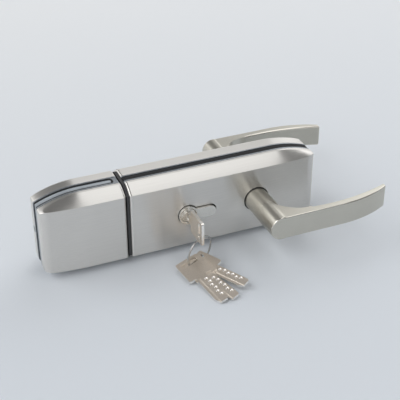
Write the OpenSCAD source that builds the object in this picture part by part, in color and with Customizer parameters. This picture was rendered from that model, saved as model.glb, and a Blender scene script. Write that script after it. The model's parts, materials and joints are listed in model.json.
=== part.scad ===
// Patch lock for a frameless glass door, with its strike box, levers and keys.
// The lock stands on its lower rims, closed up as it is before it goes on the glass.
// X runs along the lock away from the door's edge, Y towards the back, Z up.
// The origin is on the door's edge, in the middle of the glass and of the lock's height.

/* [Glass slot] */
// Width of the main lock's slot between the two covers
slot_w = 6.4; // [5.8:0.1:8]
// Width of the strike box's slot
strike_slot_w = 8.4; // [7.4:0.1:9]
// Gap between the main lock and the strike box
door_gap = 3; // [2.6:0.1:4]

/* [Covers] */
// Length of the main lock
lock_len = 170; // [160:1:200]
// Length of the strike box
strike_len = 70.2; // [62:0.1:90]
// Height of both over their rims
body_h = 72.1; // [68:0.1:80]
// Height of the flat faces between the two creases
face_h = 58.3; // [54:0.1:60]
// Depth of the front covers from the slot to the face
front_depth = 15.2; // [14:0.1:18]
// Depth of the rear covers from the slot to the face
rear_depth = 23; // [22:0.1:28]
// Depth of the front covers' flat rim
front_rim = 4.3; // [3.6:0.1:5]
// Depth of the rear covers' flat rim
rear_rim = 12; // [9:0.1:13]
// How far the bevel swells out of its own plane
bevel_swell = 0.5; // [0:0.1:0.8]
// Sheet of the covers
cover_wall = 1.6; // [1.2:0.1:2]
// Drop of the main lock's rim at its far end
lock_dip = 7; // [3:0.1:7]
// Length over which the main lock's rim drops
lock_dip_run = 36; // [25:1:60]
// Drop of the strike box's rim at its far end
strike_dip = 8.4; // [3:0.1:9]
// Length over which the strike box's rim drops
strike_dip_run = 37; // [25:1:50]
// How far the faces draw back at the far ends
face_draw = 3.6; // [1:0.1:4]
// Length over which the faces draw back
face_draw_run = 45; // [30:1:50]
// Rounding of the covers' edges beside the door gap
gap_round = 2.2; // [1.8:0.1:3]
// Rounding of the covers' edges at the far ends
far_round = 1; // [0.6:0.1:2]
// How much wider the front rims are at the far ends
rim_spread = 2.3; // [0:0.1:4]
// How far the front faces fall back at the very end
front_fall = 2.4; // [1:0.1:3]
// How far the rear faces fall back at the very end
rear_fall = 8; // [5:0.1:8.5]
// Length over which the faces fall back at the very end
fall_run = 9; // [9:0.5:14]

/* [Levers] */
// Distance of the lever axis from the door's edge
lever_x = 113; // [110:0.5:118]
// Radius of a lever's neck
neck_r = 10.5; // [9.8:0.1:11]
// Projection of a lever from the cover's face
lever_out = 50.1; // [45:0.1:60]
// Reach of a lever from its axis to its tip
lever_reach = 104; // [95:1:120]
// Height of a lever's arm
arm_h = 20.4; // [16:0.1:20.8]
// Thickness of the arm beside the neck
arm_t = 6.9; // [6:0.1:8]
// Radius of the inner bend between neck and arm
bend_r = 18; // [14:0.5:20]
// Radius of the arm's inner face
arm_inner_r = 175; // [150:5:250]
// Radius of the arm's outer face where it bends to the glass
arm_outer_r = 98; // [90:1:120]
// Rounding of the arm's edges
arm_round = 0.9; // [0.4:0.1:1.4]
// Angle that a lever turns down
lever_turn = 45; // [30:1:50]

/* [Cylinder] */
// Distance of the cylinder's axis from the door's edge
cylinder_x = 50; // [49:0.5:52]
// Radius of the cylinder's round part
cyl_r = 8.5; // [8.4:0.1:8.6]
// Height of the profile from the round part's edge to the web's end
cyl_h = 33; // [32.6:0.1:33.4]
// Width of the profile's web
web_w = 10; // [9.6:0.1:10.4]
// How far the cylinder stands out of the faces
cyl_proud = 2.5; // [1:0.1:4]
// Distance of the cam's middle from the cylinder's front
cam_in = 30; // [29:0.1:31]
// Radius of the plugs
plug_r = 6.5; // [6.4:0.1:6.8]
// Radius of the cam's nose
cam_r = 15; // [14.4:0.1:15.3]

/* [Bolts] */
// Throw of the dead bolt
bolt_throw = 12.5; // [10:0.1:13]
// Draw of the latch bolt
latch_draw = 11; // [9:0.1:11.4]
// Height of a bolt's head
bolt_h = 14; // [12:0.1:14.4]
// Thickness of a bolt's head
bolt_w = 14; // [10:0.1:15]

/* [Keys] */
// Length of a key's bow
bow_len = 23.5; // [22:0.1:26]
// Width of a key's bow
bow_w = 21; // [20:0.1:23]
// Length of a key's blade
blade_len = 33.2; // [31:0.1:33.6]
// Width of a key's blade
blade_w = 9.5; // [9:0.1:9.8]
// Thickness of a key
key_t = 2.3; // [2:0.1:2.4]
// Diameter of the ring's wire
ring_wire = 1.8; // [1.4:0.1:2]

/* [Hidden] */
$fn = 48;

// Clearances
run_fit = 0.05;
seat_fit = 0.1;
free_fit = 0.3;
thread_fit = 0.02;

// Levels in depth, and the mounting plates beside the slot
slot_front = -slot_w / 2;
slot_rear = slot_w / 2;
strike_rear = slot_front + strike_slot_w;
front_face = slot_front - front_depth;
rear_face = slot_rear + rear_depth;
plate_t = 1.5;
seam = 0.15;
rim_z = body_h / 2;
crease_z = face_h / 2;

// Covers, each as length, rim drop, its run, depth, rim depth, how much wider the rim gets,
// fall of the face at the very end, and the share of the rim's drop that the crease follows
LOCK_FRONT = [lock_len, lock_dip, lock_dip_run, front_depth, front_rim, rim_spread, front_fall, 0];
LOCK_REAR = [lock_len, lock_dip, lock_dip_run, rear_depth, rear_rim, 0, rear_fall, 1];
STRIKE_FRONT = [strike_len, strike_dip, strike_dip_run, front_depth, front_rim, rim_spread, front_fall, 0];
STRIKE_REAR = [strike_len, strike_dip, strike_dip_run, rear_face - strike_rear,
    slot_rear + rear_rim - strike_rear, 0, rear_fall, 1];
curve_steps = 9;
fall_steps = 5;
EDGE = [1, 0.62, 0.38, 0.2, 0.08, 0.02, 0];

// Gaskets
gasket_sunk = 0.4;
gasket_slit = 0.4;
strike_lip = 1.7;
packing_sunk = 0.8;

// Screws by thread, and where the clamps, cover screws and lid screws sit
m3 = 3;
m4 = 4;
m5 = 5;
clamp_in = 12;
lock_clamp_far = 30;
strike_clamp_clear = 2.7;
cover_screw_d = 5.2;
cover_screw_len = 8;
end_screw_len = 9;
strike_screw_len = 10;
lid_screw_len = 6;
nut_t = 3.2;
lug_t = 3;
lid_post = 3.3;

// Lock case and what guides the bolts
case_front = -12;
case_rear = 18;
case_end = 148;
case_z = 21;
case_wall = 1.5;
case_in = case_z - case_wall;
inner_front = case_front + case_wall;
inner_rear = case_rear - case_wall;
window_z = case_z + 0.5;
clamp_z = case_z + 4.2;
clamp_clear = 0.35;
gasket_band = rim_z - gasket_sunk - clamp_z - m4 / 2 - clamp_clear;
forend_t = 2.3;
end_inset = 1.2;
plate_inset = 2.9;
strike_plate_t = 2;
strike_box_len = 29;
LID_SCREWS = [[31, 16.2], [142.8, 16.2], [79, -16.2], [142.8, -16.2]];
end_screw_y = 13;
end_screw_z = 12;

// Bolts
bolt_y = 1;
latch_z = 4 + bolt_h / 2;
latch_out = 11;
latch_back = 14;
tail_y = [-9, -6];
tail_z = [10.4, 18];
spring_post = [34, 36];
dead_z = -latch_z;
dead_face = -2.2;
dead_back = 30;
dead_tail_y = [5, 8];
dead_tail_z = -case_in + 0.2;
dead_window = 12;
dead_tail_h = 3.3;
dead_block = [8.8, 6];

// Follower and spindle
spindle_w = 8;
spindle_in = 20;
spindle_hole = [-1, 1] * (spindle_w / 2 + run_fit);
hub_r = 10;
boss_r = 9;
arm_w = 5;
arm_tip = 17;
up_arm_y = [-4.5, -0.5];
down_arm_y = [6, 10];
lug_gap = 1.15;
return_post = [-27, -25];
return_z = -14;

// Levers
neck_in = 5.2;
clip_v = -4;
clip_t = 1;
bush_r = 12;
bush_flange_r = 13.5;
arm_near_v = lever_out - arm_t;
arm_crest = 47;
outer_from = 57;
tip_round = 1.5;
grub_v = 8;

// Cylinder
cyl_front = front_face - cyl_proud;
cyl_rear = rear_face + cyl_proud;
cam_y = cyl_front + cam_in;
cam_t = 9.8;
cam_slot = 10.2;
cam_hub_r = 8.3;
cam_nose_w = 8;
tongue_r = 5.1;
plug_sunk = 0.3;
plug_chamfer = 0.5;
keyway_w = key_t + 0.2;
blade_play = 0.25;
key_z = -1;
web_x = cyl_h - cyl_r - web_w / 2;
fix_x = 20;

// Keys and ring
shoulder_out = 6.1;
bow_corner = 1.6;
dimple_r = 1.45;
dimple_deep = 0.65;
dimple_pitch = 4.2;
dimple_rows = [1.7, 2.6];
dimple_from = 5.2;
groove_at = 2.6;
groove_w = 0.8;
groove_deep = 0.4;
key_slot = [4.6, 16];
key_slot_at = 5.5;
ring_r = 14.01;
ring_yaw = 26;
ring_lean = 5.02;
ring_top = [cylinder_x + 0.3, cyl_front - shoulder_out - bow_len + key_slot_at, -7.14];
// Each loose key as angle on the ring from its foot, side, distance from the bow's edge to the
// wire, heading, pitch and roll
LOOSE_KEYS = [[54.72, -0.19, 6.76, -79.82, 5.52, 14.91], [43.25, -1.94, 4.27, -72.47, 3.32, 16.75],
    [27.46, -5.83, 6.03, -63.08, -1.79, 16]];

// Colours
satin = [0.72, 0.73, 0.73];
nickel = [0.67, 0.65, 0.58];
black = [0.1, 0.1, 0.11];
zinc = [0.62, 0.64, 0.66];
steel = [0.55, 0.56, 0.58];
brass = [0.75, 0.62, 0.35];
grey = [0.7, 0.71, 0.72];

// Solids along an axis
module box(x, y, z) {
    translate([x[0], y[0], z[0]]) cube([x[1] - x[0], y[1] - y[0], z[1] - z[0]]);
}
module rod_x(r, x) {
    translate([x[0], 0, 0]) rotate([0, 90, 0]) cylinder(r = r, h = x[1] - x[0]);
}
module rod_y(r, y) {
    translate([0, y[1], 0]) rotate([90, 0, 0]) cylinder(r = r, h = y[1] - y[0]);
}
module prism_y(y) {
    translate([0, y[1], 0]) rotate([90, 0, 0]) linear_extrude(y[1] - y[0]) children();
}
module prism_x(x) {
    translate([x[0], 0, 0]) rotate([90, 0, 90]) linear_extrude(x[1] - x[0]) children();
}

// A closed skin over rings of equally many points, which run anticlockwise seen from the last ring
module skin(rings) {
    n = len(rings[0]);
    last = (len(rings) - 1) * n;
    sides = [for (i = [0:len(rings) - 2], j = [0:n - 1])
        [i * n + j, (i + 1) * n + j, (i + 1) * n + (j + 1) % n, i * n + (j + 1) % n]];
    ends = [[for (j = [0:n - 1]) j], [for (j = [n - 1:-1:0]) last + j]];
    polyhedron([for (r = rings) each r], concat(sides, ends), convexity = 8);
}

function arc(c, r, a0, a1, n) =
    [for (i = [0:n]) let (a = a0 + (a1 - a0) * i / n) [c[0] + r * cos(a), c[1] + r * sin(a)]];

// Drop at distance t from the end of an arc that is level at distance run from it
function drop(t, dip, run) = t >= run ? 0 :
    let (r = (run * run + dip * dip) / (2 * dip)) r - sqrt(r * r - pow(run - t, 2));
// How far a rounded edge of radius r has fallen in at distance t from the end
function edge_cut(t, r) = t >= r ? 0 : r - sqrt(r * r - pow(r - max(t, 0), 2));

// Rim height and face depth of a cover or, with e, of the surface e inside it,
// at distance u from the door gap
function within(r, e) = max(r - e, 0.2);
function ends_cut(c, u, e) =
    edge_cut(u - e, within(gap_round, e)) + edge_cut(c[0] - e - u, within(far_round, e));
function rim_at(c, u, e) = rim_z - e - drop(c[0] - u, c[1], c[2]) - ends_cut(c, u, e);
function depth_at(c, u, e) = c[3] - e - drop(c[0] - u, face_draw, face_draw_run)
    - drop(c[0] - u, c[6], fall_run) - ends_cut(c, u, e);
// Stations along a cover: the rounding at the gap, the draw, the fall and the far rounding
function cover_stations(c, e) =
    let (near = within(gap_round, e), far = within(far_round, e), last = c[0] - e - far,
        draw = [for (i = [0:curve_steps])
            c[0] - face_draw_run + (face_draw_run - fall_run) * i / curve_steps],
        fall = [for (i = [1:fall_steps])
            c[0] - fall_run + fall_run * sin(90 * i / (fall_steps + 1))])
    concat([for (i = [len(EDGE) - 1:-1:0]) e + near * EDGE[i]],
        [for (u = concat(draw, fall)) if (u < last - 0.1) u],
        [for (t = EDGE) last + far * (1 - t)]);

// Half a cover's section from its open edge to its crease, as depth and height
function half_section(c, u, e, open) =
    let (rim = rim_at(c, u, e), deep = depth_at(c, u, e),
        dipped = drop(c[0] - u, c[1], c[2]), wide = c[4] + c[5] * dipped / c[1],
        shoulder = min(wide - 0.3 * e, deep - 0.4),
        fold = min(crease_z - 0.55 * e - c[7] * dipped, rim - 0.3),
        swell = bevel_swell * (rim - fold) / (rim_z - crease_z))
    concat([[open, rim]], [for (i = [0:4]) let (t = i / 4, s = 4 * swell * t * (1 - t))
        [shoulder + (deep - shoulder) * t + s * 0.5, rim - (rim - fold) * t + s * 0.85]]);
function section(c, u, e, open) = let (h = half_section(c, u, e, open))
    concat([for (p = h) [u, p[0], -p[1]]], [for (i = [len(h) - 1:-1:0]) [u, h[i][0], h[i][1]]]);

// Outline of a cover's rim seen from the front, e inside its edge
function rim_outline(c, e) = let (s = [for (u = cover_stations(c, e)) [u, rim_at(c, u, e)]])
    concat([for (p = s) [p[0], -p[1]]], [for (i = [len(s) - 1:-1:0]) s[i]]);

// Placing: at the front or rear edge of a slot, and the strike box beyond the door gap
module at_front() {
    translate([0, slot_front, 0]) mirror([0, 1, 0]) children();
}
module at_rear(edge) {
    translate([0, edge, 0]) children();
}
module at_strike() {
    translate([-door_gap, 0, 0]) mirror([1, 0, 0]) children();
}

// A cover's shell with the mouth for the case, and its screw hole if it is a rear one
module cover_shell(c, mouth_u, mouth_d, screwed) {
    difference() {
        skin([for (u = cover_stations(c, 0)) section(c, u, 0, plate_t + seam)]);
        skin([for (u = cover_stations(c, cover_wall)) section(c, u, cover_wall, 0)]);
        box([-1, mouth_u], [0, mouth_d + free_fit], [-case_z - free_fit, case_z + free_fit]);
        if (screwed) translate([c[0], cover_screw_d, 0]) rotate([0, 90, 0])
            flush_screw(m3, cover_screw_len);
    }
}

// Plate beside the slot with its window, ears inside the rims and clamp holes
module base_plate(c, window, clamps, screwed) {
    difference() {
        union() {
            prism_y([0, plate_t]) polygon(rim_outline(c, 0));
            for (s = [-1, 1], u = [0.3 * c[0], 0.6 * c[0]])
                let (z = rim_z - drop(c[0] - u - 4, c[1], c[2]) - cover_wall - seat_fit)
                box([u - 4, u + 4], [plate_t / 2, min(c[4] - 0.9, 6)],
                    s > 0 ? [z - plate_t, z] : [-z, plate_t - z]);
            if (screwed) box([c[0] - cover_wall - seat_fit - lug_t, c[0] - cover_wall - seat_fit],
                [plate_t / 2, cover_screw_d + lug_t], [-lug_t - 1, lug_t + 1]);
        }
        box([-1, window], [-1, plate_t + 1], [-window_z, window_z]);
        for (p = clamps) translate([p[0], 0, p[1]]) rod_y(m4 / 2 + seat_fit, [-1, plate_t + 1]);
        if (screwed) translate([c[0], cover_screw_d, 0]) rotate([0, 90, 0])
            flush_screw(m3, cover_screw_len);
    }
}
module covered_window(c) {
    box([-1, strike_plate_t + seat_fit], [-1, plate_t + 1], [plate_inset - rim_z, rim_z - plate_inset]);
}

// U-shaped band between the plates, e inside the rim
module band(c, from, e, width, y) {
    difference() {
        prism_y(y) polygon(rim_outline(c, e));
        prism_y([y[0] - 1, y[1] + 1]) polygon([for (p = rim_outline(c, e + width))
            [p[0] < c[0] / 2 ? -1 : p[0], p[1]]]);
        box([-1, from], [y[0] - 1, y[1] + 1], [-rim_z, rim_z]);
    }
}
module slot_strip(inset) {
    r = 3 - inset;
    x0 = strike_plate_t + seat_fit + inset;
    y0 = slot_front + inset;
    y1 = strike_rear - inset;
    translate([0, 0, -rim_z]) linear_extrude(body_h) {
        translate([x0 + r, y0]) square([strike_len, y1 - y0]);
        translate([x0, y0 + r]) square([strike_len, y1 - y0 - 2 * r]);
        for (y = [y0 + r, y1 - r]) translate([x0 + r, y]) circle(r);
    }
}

// Screws with the head's seat at z = 0 and the shank below it
module pan_screw(size, long) {
    difference() {
        union() {
            translate([0, 0, -long]) cylinder(r = size / 2, h = long + 0.1);
            cylinder(r = 0.87 * size, h = 0.7 * size);
        }
        translate([0, 0, 0.3 * size]) cylinder(r = 0.42 * size, h = size, $fn = 6);
    }
}
module flush_screw(size, long) {
    translate([0, 0, -long]) cylinder(r = size / 2, h = long);
    translate([0, 0, -size / 2]) cylinder(r1 = size / 2, r2 = size, h = size / 2);
}
module flush_screw_cut(size, long) {
    difference() {
        flush_screw(size, long);
        translate([0, 0, -0.35 * size]) cylinder(r = 0.34 * size, h = size, $fn = 6);
    }
}
module hex_socket() {
    cylinder(r = 0.28 * m5, h = 3, $fn = 6);
}
module nut(size, y) {
    difference() {
        prism_y(y) circle(size, $fn = 6);
        rod_y(size / 2, [y[0] - 1, y[1] + 1]);
    }
}

// Compression spring along X
module coil(r, wire, x, turns) {
    n = turns * 10;
    run = x[1] - x[0] - wire;
    skin([for (i = [0:n]) let (a = i * 36) [for (j = [0:5]) let (b = j * 60)
        [x[0] + wire / 2 + run * i / n + wire / 2 * cos(b),
            (r + wire / 2 * sin(b)) * cos(a), (r + wire / 2 * sin(b)) * sin(a)]]]);
}

// Outline of the whole lock seen from the door gap, with all sides moved in by e
function end_outline(e) = let (front = [[slot_front - front_rim, rim_z - e],
        [front_face + e, crease_z - e / 2]], rear = [[rear_face - e, crease_z - e / 2],
        [slot_rear + rear_rim, rim_z - e]])
    concat(front, [for (i = [1:-1:0]) [front[i][0], -front[i][1]]],
        [for (i = [1:-1:0]) [rear[i][0], -rear[i][1]]], rear);

// Profile of the cylinder with its round part at the origin and its web towards X
module euro_profile(grow) {
    circle(cyl_r + grow);
    translate([web_x, 0]) circle(web_w / 2 + grow);
    translate([0, -web_w / 2 - grow]) square([web_x, web_w + 2 * grow]);
}
module euro_hole(grow, y) {
    translate([cylinder_x, 0, 0]) prism_y(y) euro_profile(grow);
}

// Openings for the two bolts in the end of the lock and of the strike box
module bolt_ways(x, grow) {
    for (z = [latch_z, dead_z]) box(x, [bolt_y - bolt_w / 2 - grow, bolt_y + bolt_w / 2 + grow],
        [z - bolt_h / 2 - grow, z + bolt_h / 2 + grow]);
}
module end_screws(x, size, long, cut) {
    for (s = [-1, 1]) translate([x, end_screw_y, s * end_screw_z]) rotate([0, 90, 0]) mirror([0, 0, 1])
        if (cut) flush_screw(size, long); else flush_screw_cut(size, long);
}

// Covers
module front_cover() {
    color(satin) difference() {
        at_front() cover_shell(LOCK_FRONT, cover_wall + 1, slot_front - case_front, false);
        euro_hole(0.4, [front_face - 1, front_face + cover_wall + 1]);
        translate([lever_x, 0, 0]) rod_y(bush_r + run_fit, [front_face - 1, front_face + cover_wall + 1]);
    }
}
module rear_cover() {
    color(satin) difference() {
        at_rear(slot_rear) cover_shell(LOCK_REAR, cover_wall + 1, case_rear - slot_rear, true);
        euro_hole(0.4, [rear_face - cover_wall - 1, rear_face + 1]);
        translate([lever_x, 0, 0]) rod_y(bush_r + run_fit, [rear_face - cover_wall - 1, rear_face + 1]);
    }
}
module strike_front_cover() {
    color(satin) difference() {
        at_strike() at_front() cover_shell(STRIKE_FRONT, cover_wall + 1, slot_front - case_front, false);
        strike_mouth();
    }
}
module strike_rear_cover() {
    color(satin) difference() {
        at_strike() at_rear(strike_rear)
            cover_shell(STRIKE_REAR, cover_wall + 1, case_rear - strike_rear, true);
        strike_mouth();
    }
}
module strike_mouth() {
    at_strike() prism_x([-1, strike_plate_t + seat_fit]) polygon(end_outline(plate_inset));
}

// Mounting plates, gaskets and clamps
lock_clamps = [for (u = [clamp_in, lock_len - lock_clamp_far], s = [-1, 1]) [u, s * clamp_z]];
strike_far_clamp = strike_len - gasket_sunk - gasket_band - m4 / 2 - strike_clamp_clear;
strike_clamps = concat([for (s = [-1, 1]) [clamp_in - door_gap, s * clamp_z]],
    [for (s = [-1, 1]) [strike_far_clamp, s * clamp_in]]);
module front_base_plate() {
    color(zinc) at_front() base_plate(LOCK_FRONT, case_end + 1, lock_clamps, false);
}
module rear_base_plate() {
    color(zinc) at_rear(slot_rear) base_plate(LOCK_REAR, case_end + 1, lock_clamps, true);
}
module strike_front_plate() {
    color(zinc) at_strike() at_front() difference() {
        base_plate(STRIKE_FRONT, strike_plate_t + strike_box_len + 1, strike_clamps, false);
        covered_window(STRIKE_FRONT);
    }
}
module strike_rear_plate() {
    color(zinc) at_strike() at_rear(strike_rear) difference() {
        base_plate(STRIKE_REAR, strike_plate_t + strike_box_len + 1, strike_clamps, true);
        covered_window(STRIKE_REAR);
    }
}
module front_gasket() {
    color(black) band(LOCK_FRONT, 0, gasket_sunk, gasket_band, [slot_front + run_fit, -gasket_slit / 2]);
}
module rear_gasket() {
    color(black) band(LOCK_REAR, 0, gasket_sunk, gasket_band, [gasket_slit / 2, slot_rear - run_fit]);
}
module strike_gasket() {
    y = [slot_front + run_fit, strike_rear - run_fit];
    color(black) at_strike() difference() {
        intersection() {
            band(STRIKE_FRONT, strike_plate_t, gasket_sunk, gasket_band, y);
            slot_strip(run_fit);
        }
        slot_strip(strike_lip);
    }
}
module strike_packing() {
    color(grey) at_strike() intersection() {
        band(STRIKE_FRONT, strike_plate_t, packing_sunk, gasket_band - packing_sunk,
            [slot_front, strike_rear]);
        slot_strip(strike_lip + run_fit);
    }
}
module clamp_set(clamps, front, rear) {
    for (p = clamps) translate([p[0], front - plate_t, p[1]]) rotate([90, 0, 0])
        pan_screw(m4, rear - front + 2 * plate_t + nut_t + 0.3);
}
module clamp_nut_set(clamps, rear) {
    for (p = clamps) translate([p[0], rear + plate_t, p[1]]) nut(m4, [0, nut_t]);
}
module clamp_screws() {
    color(steel) clamp_set(lock_clamps, slot_front, slot_rear);
}
module clamp_nuts() {
    color(steel) clamp_nut_set(lock_clamps, slot_rear);
}
module strike_clamp_screws() {
    color(steel) at_strike() clamp_set(strike_clamps, slot_front, strike_rear);
}
module strike_clamp_nuts() {
    color(steel) at_strike() clamp_nut_set(strike_clamps, strike_rear);
}
module cover_screw() {
    color(steel) translate([lock_len, slot_rear + cover_screw_d, 0]) rotate([0, 90, 0])
        flush_screw_cut(m3, cover_screw_len);
}
module strike_cover_screw() {
    color(steel) at_strike() translate([strike_len, strike_rear + cover_screw_d, 0]) rotate([0, 90, 0])
        flush_screw_cut(m3, cover_screw_len);
}

// Lock case
module forend() {
    color(black) difference() {
        prism_x([-forend_t, 0]) polygon(end_outline(end_inset));
        bolt_ways([-forend_t - 1, 1], seat_fit);
        end_screws(-forend_t, m4, end_screw_len + 1, true);
    }
}
module forend_screws() {
    color(steel) end_screws(-forend_t, m4, end_screw_len, false);
}
module boss_hole(y) {
    translate([lever_x, 0, 0]) rod_y(boss_r + run_fit, y);
}
module lid_posts() {
    for (p = LID_SCREWS) {
        out = sign(p[1]) * case_in;
        box([p[0] - lid_post, p[0] + lid_post], [inner_rear - 7, inner_rear],
            [min(p[1] - sign(p[1]) * lid_post, out), max(p[1] - sign(p[1]) * lid_post, out)]);
    }
}
module lock_case() {
    color(zinc) difference() {
        union() {
            difference() {
                box([0, case_end], [case_front, inner_rear], [-case_z, case_z]);
                box([case_wall, case_end - case_wall], [inner_front, case_rear], [-case_in, case_in]);
            }
            lid_posts();
            for (s = [-1, 1]) box([case_wall / 2, 8], [end_screw_y - m4 + 0.5, inner_rear],
                [s * end_screw_z - m4, s * end_screw_z + m4]);
            box(spring_post, [bolt_y - 4.5, bolt_y + 4.5], [latch_z - 4.5, case_z - 1]);
            box(lever_x * [1, 1] + return_post, [down_arm_y[0] - 2, down_arm_y[1] + 2],
                [1 - case_z, return_z + 4]);
            box([lever_x + arm_w / 2 + free_fit, lever_x + arm_w / 2 + free_fit + 2.4], down_arm_y,
                [1 - case_z, -arm_tip + 4]);
            translate([cylinder_x + fix_x, cam_y, 0]) cylinder(r = m5 - 0.5, h = case_z - 1);
        }
        bolt_ways([-1, case_wall + 1], seat_fit);
        end_screws(-forend_t, m4, end_screw_len + run_fit, true);
        euro_hole(0.15, [case_front - 1, case_rear + 1]);
        boss_hole([case_front - 1, case_front + 2]);
        for (p = LID_SCREWS) translate([p[0], 0, p[1]])
            rod_y(m3 / 2 + thread_fit, [inner_rear - 5, case_rear]);
        translate([cylinder_x + fix_x, cam_y, 0]) cylinder(r = m5 / 2 + thread_fit, h = case_z + 1);
    }
}
module case_lid() {
    color(zinc) difference() {
        box([0, case_end], [inner_rear, case_rear], [-case_z, case_z]);
        euro_hole(0.15, [case_front, case_rear + 1]);
        boss_hole([inner_rear - 1, case_rear + 1]);
        for (p = LID_SCREWS) translate([p[0], 0, p[1]])
            rod_y(m3 / 2 + seat_fit, [inner_rear - 1, case_rear + 1]);
    }
}
module lid_screws() {
    color(steel) for (p = LID_SCREWS) translate([p[0], case_rear, p[1]]) rotate([-90, 0, 0])
        pan_screw(m3, lid_screw_len);
}

// Bolts
module bolt_head(z, front, back, nose) {
    y0 = bolt_y - bolt_w / 2;
    translate([0, 0, z - bolt_h / 2]) linear_extrude(bolt_h) polygon([[back, y0], [back, y0 + bolt_w],
        [front + nose, y0 + bolt_w], [front, y0 + bolt_w - nose], [front, y0]]);
}
module latch_bolt() {
    lug = lever_x + arm_w / 2 + lug_gap;
    color(nickel) {
        difference() {
            bolt_head(latch_z, -latch_out, latch_back, 9.5);
            translate([0, bolt_y, latch_z]) rod_x(4, [latch_back - 2, latch_back + 1]);
        }
        box([latch_back - 6, latch_back], [tail_y[0], tail_y[1] + 1], tail_z);
        box([latch_back - 1, lug + 4.3], tail_y, tail_z);
        box([lug, lug + 4.3], [tail_y[0], up_arm_y[1] - 0.5], tail_z);
    }
}
module latch_spring() {
    color(steel) translate([0, bolt_y, latch_z])
        coil(3.3, 0.8, [latch_back - 2 + seat_fit, spring_post[0] - seat_fit], 9);
}
module dead_bolt() {
    left = [dead_back, cylinder_x - dead_window];
    right = cylinder_x + cam_r + 1;
    color(nickel) {
        bolt_head(dead_z, dead_face, dead_back, 0.8);
        box([dead_back - 1, right + dead_block[1]], dead_tail_y, [dead_tail_z, dead_tail_z + dead_tail_h]);
        box([dead_back - 1, left[1]], dead_tail_y, [dead_tail_z, dead_tail_z + dead_block[0]]);
        box([right, right + dead_block[1]], dead_tail_y, [dead_tail_z, dead_tail_z + dead_block[0]]);
    }
}
module follower() {
    color(zinc) translate([lever_x, 0, 0]) difference() {
        union() {
            rod_y(hub_r, [inner_front + 0.2, inner_rear - 0.2]);
            rod_y(boss_r - run_fit, [case_front, case_rear]);
            follower_arm(up_arm_y, 1);
            follower_arm(down_arm_y, -1);
        }
        box(spindle_hole, [case_front - 1, case_rear + 1], spindle_hole);
    }
}
module follower_arm(y, up) {
    intersection() {
        rod_y(arm_tip, y);
        box([-arm_w / 2, arm_w / 2], y, up > 0 ? [0, arm_tip] : [-arm_tip, 0]);
    }
}
module return_spring() {
    color(steel) translate([lever_x, (down_arm_y[0] + down_arm_y[1]) / 2, return_z])
        coil(2.6, 0.7, [return_post[1] + seat_fit, -arm_w / 2 - seat_fit], 9);
}

// Levers, in a frame with X along the arm and Y out of the face
module at_front_lever() {
    translate([lever_x, front_face, 0]) mirror([0, 1, 0]) children();
}
module at_rear_lever() {
    translate([lever_x, rear_face, 0]) children();
}
module both_levers() {
    at_front_lever() children();
    at_rear_lever() children();
}
function inner_v(x) = arm_near_v - arm_inner_r + sqrt(pow(arm_inner_r, 2) - pow(x - arm_crest, 2));
function outer_v(x) = lever_out
    - (x > outer_from ? arm_outer_r - sqrt(pow(arm_outer_r, 2) - pow(x - outer_from, 2)) : 0);
// Where the bend beside the neck meets the arm's inner face
bend_x = neck_r - 0.1 + bend_r;
bend_v = inner_v(bend_x) - bend_r;
tip_x = lever_reach - tip_round;
// Section across the arm at x, e inside its faces, with rounded edges
function arm_ring(x, v, e) = let (r = max(arm_round - e, 0.1), z = arm_h / 2 - e - r,
        v0 = v + e + r, v1 = outer_v(x) - e - r)
    [for (c = [[v0, -z, 180], [v1, -z, 270], [v1, z, 0], [v0, z, 90]], i = [0:3]) let (a = c[2] + 30 * i)
        [x, c[0] + r * cos(a), c[1] + r * sin(a)]];
module lever_arm() {
    difference() {
        skin(concat([for (x = [-neck_r / 2, bend_x - 0.01]) arm_ring(x, bend_v, 0)],
            [for (i = [0:14]) let (x = bend_x + (tip_x - bend_x) * i / 14) arm_ring(x, inner_v(x), 0)],
            [for (a = [30:30:90])
                arm_ring(tip_x + tip_round * sin(a), inner_v(tip_x), 0.8 * tip_round * (1 - cos(a)))]));
        rotate([-90, 0, 0]) rotate_extrude($fn = 96) polygon(concat([[neck_r - 0.1, bend_v - 1]],
            arc([bend_x, bend_v], bend_r, 180, 90, 10),
            [[bend_x + 9, bend_v + bend_r], [bend_x + 9, bend_v - 1]]));
    }
}
module lever() {
    groove = [clip_v - clip_t / 2 - run_fit, clip_v + clip_t / 2 + run_fit];
    difference() {
        union() {
            translate([0, lever_out, 0]) rotate([90, 0, 0]) rotate_extrude() neck_profile();
            lever_arm();
        }
        box(spindle_hole, [-neck_in - 1, spindle_in + 2], spindle_hole);
        difference() {
            rod_y(neck_r + 1, groove);
            rod_y(neck_r - 0.7, groove + [-1, 1]);
        }
        translate([0, grub_v, -neck_r - 1]) cylinder(r = m5 / 2 + run_fit, h = neck_r + 1);
    }
}
module neck_profile() {
    polygon(concat([[0, 0]], arc([neck_r - 1.1, 1.1], 1.1, -90, 0, 5), [[neck_r, lever_out + neck_in],
        [0, lever_out + neck_in]]));
}
module front_lever() {
    color(nickel) at_front_lever() lever();
}
module rear_lever() {
    color(nickel) at_rear_lever() lever();
}
module lever_bush() {
    difference() {
        union() {
            rod_y(bush_r, [-cover_wall - 1, 0.2]);
            rod_y(bush_flange_r, [clip_v + clip_t / 2 + seat_fit, -cover_wall - 0.05]);
        }
        rod_y(neck_r + 0.07, [-neck_in, 1]);
    }
}
module front_lever_bush() {
    color(black) at_front_lever() lever_bush();
}
module rear_lever_bush() {
    color(black) at_rear_lever() lever_bush();
}
module lever_clips() {
    color(steel) both_levers() difference() {
        rod_y(bush_flange_r - 0.7, [clip_v - clip_t / 2, clip_v + clip_t / 2]);
        rod_y(neck_r - 0.65, [clip_v - clip_t, clip_v + clip_t]);
        box([-3, 3], [clip_v - clip_t, clip_v + clip_t], [0, bush_flange_r]);
    }
}
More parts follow.
